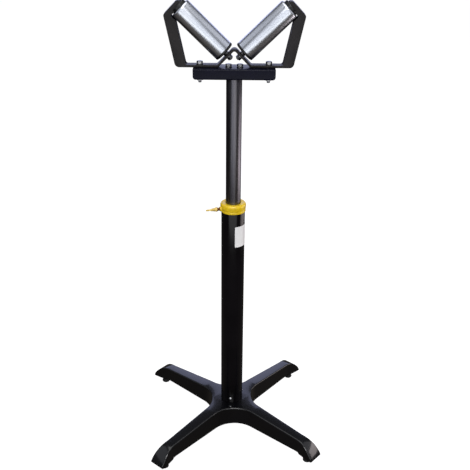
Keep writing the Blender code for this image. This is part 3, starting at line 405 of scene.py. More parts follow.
def legRows():
    # sections from the hub out, doubled where a hollow starts or ends
    start = scallopEnd - base["scallop"] * math.sqrt(0.5)
    pad = base["legReach"] - base["padLength"]
    bend = base["cornerRadius"]
    spread = [start + (scallopEnd - start) * i / base["scallopSteps"] for i in range(base["scallopSteps"])]
    spread += [scallopEnd + (neckReach - scallopEnd) * i / base["slopeSteps"]
               for i in range(base["slopeSteps"])]
    run = base["legReach"] - bend - neckReach
    spread += [neckReach + run * math.sin(math.pi / 2 * i / base["endSteps"])
               for i in range(base["endSteps"] + 1)]
    spread = sorted(spread + [pad, pad + base["padStep"]])
    web = base["webReach"]
    edges = [base["coreRadius"], web, web + base["webThickness"], base["legReach"] - base["endWall"]]
    rows = []
    hollow = False
    for reach in spread:
        while edges and reach >= edges[0]:
            spot = edges.pop(0)
            rows += [legSection(spot, hollow), legSection(spot, not hollow)]
            hollow = not hollow
        rows.append(legSection(reach, hollow))
    for step in range(1, base["cornerSteps"] + 1):
        angle = math.pi / 2 * step / base["cornerSteps"]
        reach = base["legReach"] - bend * (1 - math.sin(angle))
        rows.append(legSection(reach, False, bend * (1 - math.cos(angle))))
    return rows


def makeBase():
    # each leg is bridged section by section, then the open middle between them is closed
    shape = bmesh.new()
    rows = legRows()
    for angle in legAngles.values():
        rings = [addRing(shape, [turnZ(angle) @ Vector(point) for point in row])[1] for row in rows]
        for near, far in zip(rings, rings[1:]):
            bmesh.ops.bridge_loops(shape, edges=near + far)
        bmesh.ops.holes_fill(shape, edges=rings[-1], sides=0)
    mergePoints(shape, base["seamWeld"])
    bmesh.ops.dissolve_degenerate(shape, edges=shape.edges, dist=weld)
    rims = [edge for edge in shape.edges if len(edge.link_faces) == 1]
    bmesh.ops.holes_fill(shape, edges=rims, sides=0)
    faceOutward(shape)
    bore = nodeReach("column_tube")[2] - fit
    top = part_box("base_casting")[1][2]
    under = base["hubHeight"] - base["roof"]
    spigot = turnShape([(0, under), (bore, under), (bore, top - base["spigotChamfer"]),
                        (bore - base["spigotChamfer"], top), (0, top)], sides=96)
    shape = combine(shape, spigot)
    shape = cut(shape, rodShape(base["coreBore"], -fit, top - base["coreCap"], sides=64))
    bossTop = legHeight(footReach + base["bossRadius"]) - base["bossSink"]
    holeTop = bossFoot + base["threadLength"]
    hole = feet["threadRadius"] + fit
    for angle in legAngles.values():
        boss = turnShape([(0, holeTop), (hole, holeTop), (hole, bossFoot), (base["bossRadius"], bossFoot),
                          (base["bossRadius"], bossTop), (0, bossTop)], sides=40)
        move(boss, Matrix.Translation((footReach, 0, 0)), turnZ(angle))
        shape = combine(shape, boss)
    finishPiece("baseCasting", move(shape, turnZ(base["turn"])), "base", "basePaint",
                ["base_casting"], sharp=38)


makeBase()
print("base made")


# Fasteners and feet

hexCut = {"ringShare": 0.96, "wideShare": 1.1, "clearShare": 0.6, "angle": 30}
thread = {"pitch": 0.00125, "depth": 0.0006, "chamfer": 0.0007,
          "crestShares": (0.15, 0.35), "rootShares": (0.80, 0.90)}


def hexShape(flats, start, end, bore=0, chamferStart=True):
    # a hexagon on Z whose corners are cut back by a cone, as on a real nut
    corner = flats / 2 / math.cos(math.pi / 6)
    ring = flats / 2 * hexCut["ringShare"]
    drop = (corner - ring) * math.tan(math.radians(hexCut["angle"]))
    clear = fit * hexCut["clearShare"]
    outline = [(0, start), (ring if chamferStart else corner * hexCut["wideShare"], start)]
    if chamferStart:
        outline.append((corner + fit, start + drop + clear))
    outline += [(corner + fit, end - drop - clear), (ring, end), (0, end)]
    shape = combine(rodShape(corner, start, end, sides=6), turnShape(outline, sides=60), "INTERSECT")
    if bore:
        shape = cut(shape, rodShape(bore, start - fit, end + fit, sides=40))
    return shape


def threadShape(radius, start, end):
    # a threaded bar drawn as close rings, with both ends chamfered
    pitch = thread["pitch"]
    chamfer = thread["chamfer"]
    root = radius - thread["depth"]
    outline = [(0, start), (radius - chamfer, start)]
    height = start + chamfer
    while height + pitch < end - chamfer:
        outline += [(radius, height + pitch * share) for share in thread["crestShares"]]
        outline += [(root, height + pitch * share) for share in thread["rootShares"]]
        height += pitch
    outline += [(radius, height + pitch * thread["crestShares"][0]), (radius, end - chamfer),
                (radius - chamfer, end), (0, end)]
    return turnShape(outline, sides=40)


def makeFeet():
    for corner, angle in legAngles.items():
        place = turnZ(base["turn"]) @ turnZ(angle) @ Matrix.Translation((footReach, 0, 0))
        low, high = nodeReach("foot_stud_" + corner, place @ floorPoint)[:2]
        radius = feet["radius"]
        padTop = feet["height"]
        hole = feet["threadRadius"] + fit
        pad = turnShape(roundOff([
            (0, 0, 0), (radius - feet["edge"], 0, soft), (radius, feet["edgeRise"], feet["edgeRound"]),
            (radius - feet["bandDraw"], feet["bandTop"], rounded),
            (radius - feet["stepDraw"], feet["stepTop"], crisp), (feet["topRadius"], padTop, rounded),
            (hole, padTop, crisp), (hole, low - fit, 0), (0, low - fit, 0),
        ], steps=4), sides=56)
        body = corner + "_foot"
        finishPiece("footGlide_" + corner, move(pad, place), body, "footRubber",
                    ["foot_pad_" + corner])
        hexTop = bossFoot - fit
        stud = combine(hexShape(feet["hexFlats"], hexTop - feet["hexHeight"], hexTop),
                       threadShape(feet["threadRadius"], low, high))
        finishFastener("footStud_" + corner, stud, place, "foot_stud_" + corner, body)


makeFeet()
print("feet made")


# Column, collar and thumb screw

column = {"edge": 0.0006, "screwHeadHeight": 0.0028, "screwHeadRadius": 0.0045, "screwRadius": 0.0025,
          "screwAngles": {"front": 263.7, "right": 23.7, "left": 143.7}, "screwLength": 0.014,
          "domeSteps": 8, "domePower": 0.7, "rimShare": 0.2,
          "slotWidth": 0.0009, "slotLength": 0.0046, "slotDepth": 0.0013}
collar = {"radius": 0.0328, "hemRadius": 0.0319, "grooveRadius": 0.0313, "groove": 0.0012, "bead": 0.0165,
          "crown": 0.0062, "draw": 0.0045, "skirt": 0.0155, "edge": 0.0012, "hemRound": 0.0009,
          "bossRadius": 0.0062, "bossLength": 0.003, "bossFlare": 0.0012, "bossTaper": 0.0003,
          "bossRoot": 0.0001, "bossSink": 0.0004, "bossRound": 0.0009, "beadSteps": 12, "rimSteps": 5}
thumbScrew = {"angle": math.radians(198), "drop": 0.0150, "turn": math.radians(24),
              "threadRadius": 0.004, "threadShown": 0.0075, "threadSunk": 0.004,
              "flangeLength": 0.0022, "flangeRadius": 0.0050, "flangeWide": 0.0056, "flangeRound": 0.0005,
              "hubRadius": 0.0060, "hubTip": 0.0034, "hubLength": 0.018, "hubEnds": 0.0028,
              "hubSteps": 12, "hubPower": 1.2, "hubCapShare": 0.7,
              "length": 0.026, "span": 0.025, "thickness": 0.0046, "bladeBevel": 0.0016,
              "notch": 0.009, "tipWidth": 0.0062, "round": 0.0026}
label = {"bottom": 0.565, "top": 0.622, "from": 10, "to": 103, "thickness": 0.00025, "gap": 0.0001,
         "corner": 0.003, "strips": 40}


def radial(angle, height):
    # points Z outwards from the column at an angle
    return (Matrix.Translation((0, 0, height)) @ Matrix.Rotation(angle, 4, "Z")
            @ Matrix.Rotation(math.radians(90), 4, "Y"))


def makeColumn():
    tube = sleeveShape("column_tube", edge=column["edge"], sides=144)
    finishPiece("columnTube", tube, "base", "columnPaint", ["column_tube"])
    height = sum(corner[2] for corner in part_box("column_screw_front")) / 2
    seat = nodeReach("column_tube")[3] + fit
    head = column["screwHeadHeight"]
    flat = column["screwHeadRadius"]
    rim = column["rimShare"]
    outline = [(0, seat - column["screwLength"]), (column["screwRadius"], seat - column["screwLength"]),
               (column["screwRadius"], seat), (flat, seat)]
    for step in range(column["domeSteps"] + 1):
        lean = math.pi / 2 * step / column["domeSteps"]
        outline.append((flat * math.cos(lean) ** column["domePower"],
                        seat + head * (rim + (1 - rim) * math.sin(lean))))
    for name, angle in column["screwAngles"].items():
        screw = turnShape(outline, sides=48)
        for quarter in (0, 90):
            slot = bmesh.new()
            bmesh.ops.create_cube(slot, size=1)
            size = (column["slotLength"], column["slotWidth"], column["slotDepth"] * 2, 1)
            move(slot, Matrix.Diagonal(size), turnZ(quarter), Matrix.Translation((0, 0, seat + head)))
            screw = cut(screw, slot)
        finishFastener("columnScrew_" + name, screw, radial(math.radians(angle), height),
                       "column_screw_" + name, "base", "bearingSteel")


def makeLabel():
    # a blank white sticker round the front right of the column
    radius = nodeReach("column_tube")[3]
    width = radius * math.radians(label["to"] - label["from"])
    middle = (label["bottom"] + label["top"]) / 2
    half = (label["top"] - label["bottom"]) / 2
    corner = label["corner"]
    outline = roundOff([(0, -half, corner), (width, -half, corner), (width, half, corner),
                        (0, half, corner)], steps=5)
    shape = slabShape(outline, label["thickness"])
    for i in range(1, label["strips"]):
        geometry = shape.verts[:] + shape.edges[:] + shape.faces[:]
        bmesh.ops.bisect_plane(shape, geom=geometry, plane_co=(width * i / label["strips"], 0, 0),
                               plane_no=(1, 0, 0))
    for vertex in shape.verts:  # bend it round the tube
        angle = math.radians(label["from"] - 90) + vertex.co.x / radius
        out = radius + label["gap"] + label["thickness"] / 2 - vertex.co.y
        vertex.co = (out * math.cos(angle), out * math.sin(angle), middle + vertex.co.z)
    finishPiece("blankLabel", shape, "base", "labelWhite")


def makeCollar():
    start, end = nodeReach("lock_collar")[:2]
    columnBore, columnRadius = nodeReach("column_tube")[2:]
    radius = collar["radius"]
    bore = nodeReach("mast_tube")[3] + fit
    sleeve = columnBore - fit
    skirtBore = columnRadius + fit
    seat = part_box("column_tube")[1][2] + fit
    hemFoot = seat - collar["skirt"]
    groove = end - collar["bead"]
    widest = end - collar["crown"]
    edge = collar["edge"]
    hem = [(bore, start, 0), (sleeve, start, fine), (sleeve, seat, 0), (skirtBore, seat, 0),
           (skirtBore, hemFoot, crisp), (collar["hemRadius"], hemFoot, rounded),
           (collar["hemRadius"], groove - collar["groove"] - edge / 2, collar["hemRound"]),
           (collar["grooveRadius"], groove - collar["groove"], fine)]
    for step in range(-collar["beadSteps"], collar["beadSteps"] + 1):
        angle = math.pi / 2 * step / collar["beadSteps"]
        draw = collar["draw"] if step > 0 else radius - collar["grooveRadius"]
        rise = collar["crown"] if step > 0 else widest - groove
        hem.append((radius - draw * (1 - math.cos(angle)), widest + rise * math.sin(angle), 0))
    for step in range(1, collar["rimSteps"] + 1):
        angle = math.pi / 2 * step / collar["rimSteps"]
        hem.append((bore + edge * (1 - math.sin(angle)), end - edge * (1 - math.cos(angle)), 0))
    shape = turnShape(roundOff(hem, steps=4), sides=144)
    place = radial(thumbScrew["angle"], end - thumbScrew["drop"])
    root = skirtBore + collar["bossRoot"]
    bossRadius = collar["bossRadius"]
    bossEnd = radius + collar["bossLength"]
    boss = turnShape(roundOff([(0, root, 0), (bossRadius + collar["bossFlare"], root, 0),
                               (bossRadius + collar["bossTaper"], radius - collar["bossSink"], rounded),
                               (bossRadius, bossEnd, collar["bossRound"]), (0, bossEnd, 0)], steps=4),
                     sides=48)
    shape = combine(shape, move(boss, place))
    drill = rodShape(thumbScrew["threadRadius"] + fit, bore - over, bossEnd + fit, sides=40)
    shape = cut(shape, move(drill, place))
    finishPiece("lockCollar", shape, "base", "collarYellow", ["lock_collar"], sharp=38)


def makeThumbScrew():
    tip = nodeReach("mast_tube")[3] + fit
    foot = collar["radius"] + collar["bossLength"] + thumbScrew["threadShown"]
    place = radial(thumbScrew["angle"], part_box("lock_collar")[1][2] - thumbScrew["drop"])
    bar = threadShape(thumbScrew["threadRadius"], tip, foot + thumbScrew["threadSunk"])
    low = foot - thumbScrew["flangeLength"]
    high = foot - fit / 3
    flange = turnShape(roundOff([(0, low, 0), (thumbScrew["flangeRadius"], low, thumbScrew["flangeRound"]),
                                 (thumbScrew["flangeWide"], high, fine), (0, high, 0)], steps=3), sides=48)
    finishPiece("thumbScrewThread", move(combine(bar, flange), place), "thumb_screw",
                "gripBrass")
    hub = thumbScrew["hubLength"]
    wide = thumbScrew["hubRadius"]
    narrow = thumbScrew["hubTip"]
    outline = [(0, foot), (wide - rounded, foot), (wide, foot + rounded)]
    for step in range(1, thumbScrew["hubSteps"] + 1):
        share = step / thumbScrew["hubSteps"]
        outline.append((wide + (narrow - wide) * math.sin(share * math.pi / 2) ** thumbScrew["hubPower"],
                        foot + rounded + (hub - thumbScrew["hubEnds"]) * share))
    outline += [(narrow * thumbScrew["hubCapShare"], foot + hub - soft), (0, foot + hub)]
    half = thumbScrew["span"] / 2
    inner = half - thumbScrew["tipWidth"]
    root = foot + thumbScrew["round"]
    crown = foot + thumbScrew["length"]
    notch = crown - thumbScrew["notch"]
    bend = thumbScrew["round"]
    wings = roundOff([(-narrow, root, 0), (narrow, root, 0), (half, notch, bend),
                      (half, crown, bend), (inner, crown, bend), (0, notch, bend),
                      (-inner, crown, bend), (-half, crown, bend), (-half, notch, bend)])
    blade = slabShape(wings, thumbScrew["thickness"], bevel=thumbScrew["bladeBevel"], segments=4)
    shape = combine(turnShape(outline, sides=56), move(blade, turnZ(90)))
    finishPiece("thumbScrewGrip", move(shape, Matrix.Rotation(thumbScrew["turn"], 4, "Z"), place),
                "thumb_screw", "gripYellow", ["wing_screw"], sharp=40)


makeColumn()
makeLabel()
makeCollar()
makeThumbScrew()
print("column, collar and thumb screw made")


# Mast and beam

mast = {"edge": 0.0005}
beam = {"wall": 0.003, "corner": 0.0035, "clip": 0.008, "topClip": 0.0015, "holeRadius": 0.0043,
        "spare": 0.01}
bolts = {"offset": 0.081, "flats": 0.013, "headHeight": 0.0053, "threadRadius": 0.004, "sunk": 0.001,
         "flangeOffset": 0.0135, "flangeRadius": 0.0085, "flangeLip": 0.0013, "lipShare": 0.6,
         "coneWidth": 0.002, "flangeSunk": 0.0005, "headSink": 0.0002}


def makeMast():
    tube = sleeveShape("mast_tube", edge=mast["edge"], sides=120)
    finishPiece("mastTube", tube, "head", "mastSteel", ["mast_tube"])


def makeBeam():
    # a box section whose ends are clipped round in the front view
    low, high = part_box("head_beam")
    bottom, top = low[2], high[2]
    half = (high[1] - low[1]) / 2
    end = (high[0] - low[0]) / 2
    wall = beam["wall"]
    spare = beam["spare"]
    outer = roundOff([(-half, bottom, beam["corner"]), (half, bottom, beam["corner"]),
                      (half, top, beam["corner"]), (-half, top, beam["corner"])])
    corner = beam["corner"] - wall + fit
    inner = roundOff([(wall - half, bottom + wall, corner), (half - wall, bottom + wall, corner),
                      (half - wall, top - wall, corner), (wall - half, top - wall, corner)], steps=3)
    shape = move(slabShape(outer, end * 2 + spare), turnZ(90))
    front = slabShape(roundOff([(-end, bottom, beam["clip"]), (end, bottom, beam["clip"]),
                                (end, top, beam["topClip"]), (-end, top, beam["topClip"])], steps=8),
                      half * 2 + spare)
    shape = combine(shape, front, "INTERSECT")
    shape = cut(shape, move(slabShape(inner, end * 2 + spare * 2), turnZ(90)))
    mastHole = rodShape(nodeReach("mast_tube")[3] + fit, bottom - over, bottom + wall + over, sides=72)
    shape = cut(shape, mastHole)
    for offset, foot in ((bolts["offset"], bottom), (-bolts["offset"], bottom),
                         (bolts["flangeOffset"], top - wall), (-bolts["flangeOffset"], top - wall)):
        drill = rodShape(beam["holeRadius"], foot - over, top + over, sides=32)
        shape = cut(shape, move(drill, Matrix.Translation((offset, 0, 0))))
    finishPiece("headBeam", shape, "head", "beamPaint", ["head_beam"], sharp=30)


def makeHeadFasteners():
    flats = bolts["flats"]
    radius = bolts["threadRadius"]
    for sign, side in ((-1, "left"), (1, "right")):
        centre = Vector((sign * bolts["offset"], 0, 0))
        place = Matrix.Translation(centre)
        start, end = nodeReach("frame_bolt_" + side, centre)[:2]
        under = end - bolts["headHeight"]
        bolt = combine(hexShape(flats, under, end, chamferStart=False),
                       threadShape(radius, start, under + bolts["sunk"]))
        finishFastener("frameBolt_" + side, bolt, place, "frame_bolt_" + side)
        washer = sleeveShape("frame_washer_" + side, centre)
        finishFastener("frameWasher_" + side, washer, place, "frame_washer_" + side)
        start, end = nodeReach("frame_nut_" + side, centre)[:2]
        finishFastener("frameNut_" + side, hexShape(flats, start, end, radius + fit), place,
                       "frame_nut_" + side)
        centre = Vector((sign * bolts["flangeOffset"], 0, 0))
        start, end = nodeReach("flange_bolt_" + side, centre)[:2]
        lip = bolts["flangeLip"]
        seat = end - bolts["headHeight"] - lip
        coneTop = seat + lip + soft
        skirt = turnShape(roundOff([(0, seat, 0), (bolts["flangeRadius"], seat, crisp),
                                    (bolts["flangeRadius"], seat + lip * bolts["lipShare"], fine),
                                    (radius + bolts["coneWidth"], coneTop, fine), (0, coneTop, 0)], steps=3),
                          sides=48)
        head = hexShape(flats, seat + bolts["headSink"], end, chamferStart=False)
        bolt = combine(combine(head, skirt), threadShape(radius, start, seat + bolts["flangeSunk"]))
        finishFastener("flangeBolt_" + side, bolt, Matrix.Translation(centre), "flange_bolt_" + side)


makeMast()
makeBeam()
makeHeadFasteners()
print("mast and beam made")


# Roller bracket, drawn from the axes of the two rollers

bracket = {"width": 0.028, "thickness": 0.0055, "plateTop": 0.0130, "plateFoot": 0.0360,
           "plateFlange": 0.0143, "armFlange": 0.0250, "armLean": math.radians(12),
           "peakBend": 0.0102, "legBend": 0.005, "armBend": 0.011, "armFillet": 0.006,
           "cornerBend": 0.007, "tipRound": 0.009, "tipCorner": 0.004, "stepRound": 0.002,
           "edge": 0.0007, "rollerPlay": 0.0015, "pocketOver": 0.004}
roller = {"edge": 0.0008, "capRound": 0.0025, "capPlug": 0.0130, "capWall": 0.0025, "capHole": 0.0095,
          "hubRing": 0.004, "rimRing": 0.0046, "ringSlope": 0.0006, "faceSink": 0.0005,
          "rolledEnd": 0.0046, "rolledWall": 0.0022, "rolledGap": 0.0002, "rolledBend": 0.001,
          "lipWidth": 0.0006, "lipRound": 0.0002, "plugSet": 0.0012,
          "dustRadius": 0.0193, "dustRing": 0.0080, "dustRound": 0.0025,
          "bearingRadius": 0.015, "axleRadius": 0.005, "threadRadius": 0.004, "axleEdge": 0.0006}
rollers = {}
for joint in frame["record"]["behaviour"]["joints"]:
    if joint["name"] in ("left_roller_spin", "right_roller_spin"):
        axis = Vector(joint["axis"]).normalized()
        spot = Vector(joint["pos_m"])
        vertex = spot - axis * (spot.x / axis.x)      # where the two roller axes meet
        rollers[joint["name"].split("_")[0]] = (vertex, axis)
vertex, alongRoller = rollers["right"]
belowRoller = Vector((alongRoller.z, 0, -alongRoller.x))


def frontPoint(along, below):
    spot = vertex + alongRoller * along + belowRoller * below
    return Vector((spot.x, spot.z))


def crossing(point, direction, other, otherDirection):
    run = (other - point).cross(otherDirection) / direction.cross(otherDirection)
    return point + direction * run


def makeBracket():
    level = Vector((1, 0))
    axis = Vector((alongRoller.x, alongRoller.z))
    square = Vector((belowRoller.x, belowRoller.z))
    arm = Vector((math.sin(bracket["armLean"]), math.cos(bracket["armLean"])))
    armIn = Vector((-arm.y, arm.x))
    thick = bracket["thickness"]
    half = bracket["width"] / 2
    legFace = nodeReach("hex_spacer_right", vertex, alongRoller)[0] - fit
    plateFace = nodeReach("axle_spacer_right", vertex, alongRoller)[1] + fit
    plateBack = plateFace + thick
    rollerRadius = nodeReach("roller_tube_right", vertex, alongRoller)[3]
    clear = math.sqrt(rollerRadius ** 2 - (half - thick) ** 2) + bracket["rollerPlay"]
    outerCorner = frontPoint(plateBack, bracket["plateFoot"])
    innerArm = outerCorner + armIn * bracket["armFlange"]
    barFoot = Vector((0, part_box("roller_frame")[0][2]))
    barTop = barFoot + Vector((0, thick))
    legTop = frontPoint(legFace, 0)
    legUnder = frontPoint(legFace - thick, 0)
    flangeEdge = plateBack - bracket["plateFlange"]
    middle = Vector((0, vertex.z))
    peak = crossing(middle, Vector((0, 1)), legTop, square)
    under = crossing(middle, Vector((0, 1)), legUnder, square)
    corners = [
        (crossing(barTop, level, legTop, square), bracket["legBend"]),
        (crossing(barTop, level, innerArm, arm), bracket["armFillet"]),
        (crossing(innerArm, arm, frontPoint(0, clear), axis), bracket["stepRound"]),
        (frontPoint(flangeEdge, clear), bracket["stepRound"]),
        (frontPoint(flangeEdge, -bracket["plateTop"]), bracket["tipCorner"]),
        (frontPoint(plateBack, -bracket["plateTop"]), bracket["tipRound"]),
        (outerCorner, bracket["cornerBend"]),
        (crossing(barFoot, level, outerCorner, arm), bracket["armBend"]),
        (crossing(barFoot, level, legUnder, square), bracket["legBend"] + thick),
    ]
    right = [(point.x, point.y, radius) for point, radius in corners]
    left = [(-x, z, radius) for x, z, radius in reversed(right)]
    outline = [(0, peak.y, bracket["peakBend"])] + right + [(0, under.y, bracket["peakBend"] - thick)] + left
    shape = slabShape(roundOff(outline, steps=10), bracket["width"], bevel=bracket["edge"], segments=3)
    web = outerCorner + armIn * thick
    heel = crossing(barTop, level, web, arm)
    spare = bracket["pocketOver"]
    pastTip = -bracket["plateTop"] - spare
    pocket = roundOff([(point.x, point.y, radius) for point, radius in (
        (heel - Vector((bracket["armFlange"] + spare, 0)), 0), (heel, bracket["armBend"] - thick),
        (crossing(web, arm, frontPoint(plateFace, 0), square), bracket["stepRound"]),
        (frontPoint(plateFace, pastTip), 0), (frontPoint(flangeEdge - spare, pastTip), 0))], steps=8)
    for sign in (-1, 1):
        hollow = move(slabShape(pocket, (half - thick) * 2), Matrix.Diagonal((sign, 1, 1, 1)))
        faceOutward(hollow)
        shape = cut(shape, hollow)
        side = Vector((alongRoller.x * sign, 0, alongRoller.z))
        for radius, start, end in ((roller["axleRadius"] + fit, plateFace, plateBack),
                                   (roller["threadRadius"] + fit, legFace - thick, legFace)):
            drill = rodShape(radius, start - over, end + over, sides=36)
            shape = cut(shape, move(drill, alongAxis(vertex, side)))
        drill = rodShape(beam["holeRadius"], barFoot.y - over, barTop.y + over, sides=36)
        shape = cut(shape, move(drill, Matrix.Translation((sign * bolts["offset"], 0, 0))))
    finishPiece("rollerFrame", shape, "head", "framePaint", ["roller_frame"], sharp=28)


makeBracket()
print("bracket made")


# Rollers

zinc = {"tones": [(0.3, (0.64, 0.67, 0.74)), (0.52, (0.70, 0.73, 0.80)), (0.75, (0.76, 0.78, 0.83))],
        "clouds": (14, 3, (1, 1, 0.25)), "lines": (520, 4, (1, 1, 0.02)), "rings": (300, 3, (0.03, 0.03, 1)),
        "spread": (0.7, 1.3), "rough": (0.275, 0.300), "bump": (0.008, 0.00005)}


def zincLook(side, axis):
    # bright drawn tube: fine lines along the roller, faint rings round it, and soft clouding
    look, nodes, links = startLook("rollerZinc_" + side)
    place = nodes.new("ShaderNodeTexCoord")
    turn = tuple(axis.to_track_quat("Z", "Y").inverted().to_euler())
    colourFrom(nodes, links, noiseNode(nodes, links, place, *zinc["clouds"], turn), zinc["tones"])
    both = nodes.new("ShaderNodeMath")
    both.operation = "ADD"
    links.new(noiseNode(nodes, links, place, *zinc["lines"], turn), both.inputs[0])
    links.new(noiseNode(nodes, links, place, *zinc["rings"], turn), both.inputs[1])
    grainFrom(nodes, links, both.outputs["Value"], zinc["spread"], zinc["rough"], zinc["bump"])
    setInputs(nodes["Principled BSDF"], {"Metallic": 1})
    return look


def capShape(face, rim, depth, plug):
    # a moulded cap: a rounded flange over the tube's end, and a plug that holds the bearing
    bore = roller["bearingRadius"] + fit
    hole = roller["capHole"]
    wall = roller["capWall"]
    hub = hole + roller["hubRing"]
    ring = rim - roller["rimRing"]
    slope = roller["ringSlope"]
    sink = roller["faceSink"]
    end = depth + roller["capPlug"]
    corners = [(hole, 0, soft), (hub, 0, fine), (hub + slope, sink, fine), (ring - slope, sink, fine),
               (ring, 0, fine), (rim, 0, roller["capRound"]), (rim, depth, crisp), (plug, depth, 0),
               (plug, end, rounded), (bore, end, crisp), (bore, wall, 0), (hole, wall, crisp)]
    return turnShape([(radius, face + run) for radius, run in roundOff(corners, steps=5)], sides=112)


def outerCapShape(face, depth, plug, lip):
    # the cap at the plate, in the rolled tube end, with a raised dust ring round the axle
    bore = roller["bearingRadius"] + fit
    hole = roller["capHole"]
    wall = roller["capWall"]
    dust = roller["dustRadius"]
    end = depth + roller["capPlug"]
    corners = [(hole, -roller["dustRing"], soft), (dust, -roller["dustRing"], roller["dustRound"]),
               (dust, soft, roller["lipRound"]), (lip, soft, roller["lipRound"]),
               (lip, roller["rolledWall"] + roller["rolledGap"], 0), (plug, depth + roller["plugSet"], crisp),
               (plug, end, rounded), (bore, end, crisp), (bore, wall, 0), (hole, wall, crisp)]
    return turnShape([(radius, face - run) for radius, run in roundOff(corners, steps=5)], sides=112)


def makeRoller(side):
    start, axis = rollers[side]
    body = side + "_roller"
    place = alongAxis(start, axis)
    low, high, bore, radius = nodeReach("roller_tube_" + side, start, axis)
    capStart, face = nodeReach(f"end_cap_{side}_upper", start, axis)[:2]
    depth = face - capStart - roller["capPlug"]
    lip = radius - roller["rolledEnd"] - roller["lipWidth"]
    bend = roller["rolledBend"]
    outer = roundOff([(bore, low, crisp), (radius, low, roller["edge"]), (radius, face, roller["rolledEnd"]),
                      (lip, face, crisp), (lip, face - roller["rolledWall"], 0), (bore, high - bend, bend)])
    looks["rollerZinc_" + side] = zincLook(side, axis)
    finishPiece("rollerTube_" + side, move(turnShape(outer, sides=128), place), body, "rollerZinc_" + side,
                ["roller_tube_" + side])
    capFace, rim = nodeReach(f"end_cap_{side}_lower", start, axis)[::3]
    caps = {"lower": capShape(capFace, rim, depth, bore - fit),
            "upper": outerCapShape(face, depth, bore - fit, lip - fit)}
    for end, cap in caps.items():
        finishPiece(f"endCap_{side}_{end}", move(cap, place), body, "capPlastic",
                    [f"end_cap_{side}_{end}"])
    tail, back = nodeReach("axle_" + side, start, axis)[:2]
    shoulder = nodeReach("hex_spacer_" + side, start, axis)[1] + fit
    bar = turnShape(roundOff([(0, shoulder, 0), (roller["axleRadius"], shoulder, fine),
                              (roller["axleRadius"], back, roller["axleEdge"]), (0, back, 0)], steps=4),
                    sides=56)
    pin = combine(threadShape(roller["threadRadius"], tail, shoulder + bolts["sunk"]), bar)
    finishFastener("axle_pin_" + side, pin, place, "axle_" + side)
    for node, name in (("axle_spacer_", "axleSpacer_"), ("axle_washer_", "axleWasher_")):
        finishFastener(name + side, sleeveShape(node + side, start, axis), place, node + side)
    for node, name in (("hex_spacer_", "hexSpacer_"), ("axle_nut_", "axleNut_")):
        low, high = nodeReach(node + side, start, axis)[:2]
        nut = hexShape(bolts["flats"], low, high, roller["threadRadius"] + fit)
        finishFastener(name + side, nut, place, node + side)


for side in rollers:
    makeRoller(side)
print("rollers made")


# Finishes of the nodes that stay

kept = {"mast_bush": "nylon", "mast_foot_plug": "plainSteel", "bush_ring": "plainSteel",
        "mast_flange": "plainSteel"}
for side in rollers:
    for end in ("lower", "upper"):
        for part in ("outer_race", "inner_race", "ball_cage"):
            kept[f"{part}_{side}_{end}"] = "bearingSteel"
for node, look in kept.items():
    mesh = frame["nodes"][node].data
    mesh.materials.clear()
    mesh.materials.append(looks[look])
print("kept nodes finished:", len(kept))


# Camera, floor and light

view = {"place": (0.0054, -1.766, 1.409), "pitch": math.radians(65.04), "roll": math.radians(0.54),
        "lens": 57.57, "sensor": 36}
studio = {"floorHalf": 30, "floorDim": (0.080, 0.070, 0.058, 1), "floorRough": 0.9, "floorSpecular": 0.1,
          "floorPale": (0.25, 0.25, 0.25, 1), "floorGlow": 0.98,
          "skyDim": (0.93, 0.95, 1, 1), "skyStrength": 0.12, "skyPale": (1, 1, 1, 1)}
lamps = {  # place, aim, size, glow, colour
    "top": ((0, -0.1, 3.4), (0, 0, 0), (3.2, 2.4), 1.7, (1, 1, 1)),
    "frontHigh": ((0, -3.3, 3.9), (0, 0, 0.6), (2.2, 1.1), 12.0, (1, 1, 1)),
    "frontUpper": ((0, -3.2, 2.55), (0, 0, 1.1), (4.4, 1.2), 0.5, (0.88, 0.91, 1)),
    "frontMiddle": ((0, -3.1, 1.35), (0, 0, 1.1), (4.0, 1.0), 1.15, (0.95, 0.97, 1)),
    "frontLow": ((-0.1, -2.35, 0.10), (0, 0, 1.1), (3.6, 1.4), 1.7, (0.96, 0.98, 1)),
    "leftSide": ((-2.2, -0.2, 2.1), (0, 0, 1.1), (2.6, 2.0), 0.50, (0.90, 0.93, 1)),
    "rightSide": ((2.2, -0.2, 2.1), (0, 0, 1.1), (2.6, 2.0), 0.60, (0.94, 0.95, 1)),
    "back": ((0, 3.0, 1.55), (0, 0, 1.1), (4.6, 1.4), 1.3, (0.62, 0.66, 1)),
    "rightLow": ((1.15, 0.20, 0.50), (0, 0, 0.9), (1.0, 0.5), 3.4, (1, 0.90, 0.90)),
}


def makeCamera():
    data = bpy.data.cameras.new("camera")
    data.lens = view["lens"]
    data.sensor_width = view["sensor"]
    camera = bpy.data.objects.new("camera", data)
    camera.matrix_world = (Matrix.Translation(view["place"]) @ Matrix.Rotation(view["pitch"], 4, "X")
                           @ Matrix.Rotation(view["roll"], 4, "Z"))
    bpy.context.scene.collection.objects.link(camera)
    bpy.context.scene.camera = camera


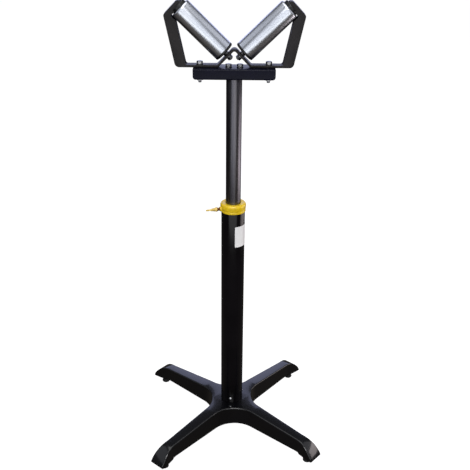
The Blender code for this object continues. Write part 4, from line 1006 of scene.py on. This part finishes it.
def paleToTheEye(nodes, links, dim, pale, output):
    # the camera sees one shader, and all that the paint mirrors is the dim one
    rays = nodes.new("ShaderNodeLightPath")
    mix = nodes.new("ShaderNodeMixShader")
    links.new(rays.outputs["Is Camera Ray"], mix.inputs["Fac"])
    links.new(dim, mix.inputs[1])
    links.new(pale, mix.inputs[2])
    links.new(mix.outputs["Shader"], nodes[output].inputs["Surface"])


def makeFloor():
    shape = bmesh.new()
    bmesh.ops.create_grid(shape, x_segments=1, y_segments=1, size=studio["floorHalf"])
    floor = toMesh("floor", shape)
    look, nodes, links = startLook("paleFloor")
    matt = nodes["Principled BSDF"]
    setInputs(matt, {"Base Color": studio["floorDim"], "Roughness": studio["floorRough"],
                     "Specular IOR Level": studio["floorSpecular"]})
    pale = nodes.new("ShaderNodeBsdfDiffuse")
    setInputs(pale, {"Color": studio["floorPale"]})
    glow = nodes.new("ShaderNodeEmission")
    setInputs(glow, {"Strength": studio["floorGlow"]})
    bright = nodes.new("ShaderNodeAddShader")
    links.new(pale.outputs["BSDF"], bright.inputs[0])
    links.new(glow.outputs["Emission"], bright.inputs[1])
    paleToTheEye(nodes, links, matt.outputs["BSDF"], bright.outputs["Shader"], "Material Output")
    floor.data.materials.append(look)


def makeLamps():
    for name, (place, aim, size, glow, colour) in lamps.items():
        data = bpy.data.lights.new(name, "AREA")
        data.shape = "RECTANGLE"
        data.size, data.size_y = size
        data.energy = glow * math.pi * data.size * data.size_y
        data.color = colour
        light = bpy.data.objects.new(name, data)
        light.visible_camera = False
        turn = (Vector(aim) - Vector(place)).to_track_quat("-Z", "Y")
        light.matrix_world = Matrix.Translation(place) @ turn.to_matrix().to_4x4()
        bpy.context.scene.collection.objects.link(light)


def makeSky():
    world = bpy.data.worlds.new("studio")
    world.use_nodes = True
    nodes = world.node_tree.nodes
    dim = nodes["Background"]
    setInputs(dim, {"Color": studio["skyDim"], "Strength": studio["skyStrength"]})
    white = nodes.new("ShaderNodeBackground")
    setInputs(white, {"Color": studio["skyPale"]})
    paleToTheEye(nodes, world.node_tree.links, dim.outputs["Background"], white.outputs["Background"],
                 "World Output")
    bpy.context.scene.world = world


makeCamera()
makeFloor()
makeLamps()
makeSky()
bpy.context.scene.view_settings.view_transform = "Standard"
print("camera, floor and light made")
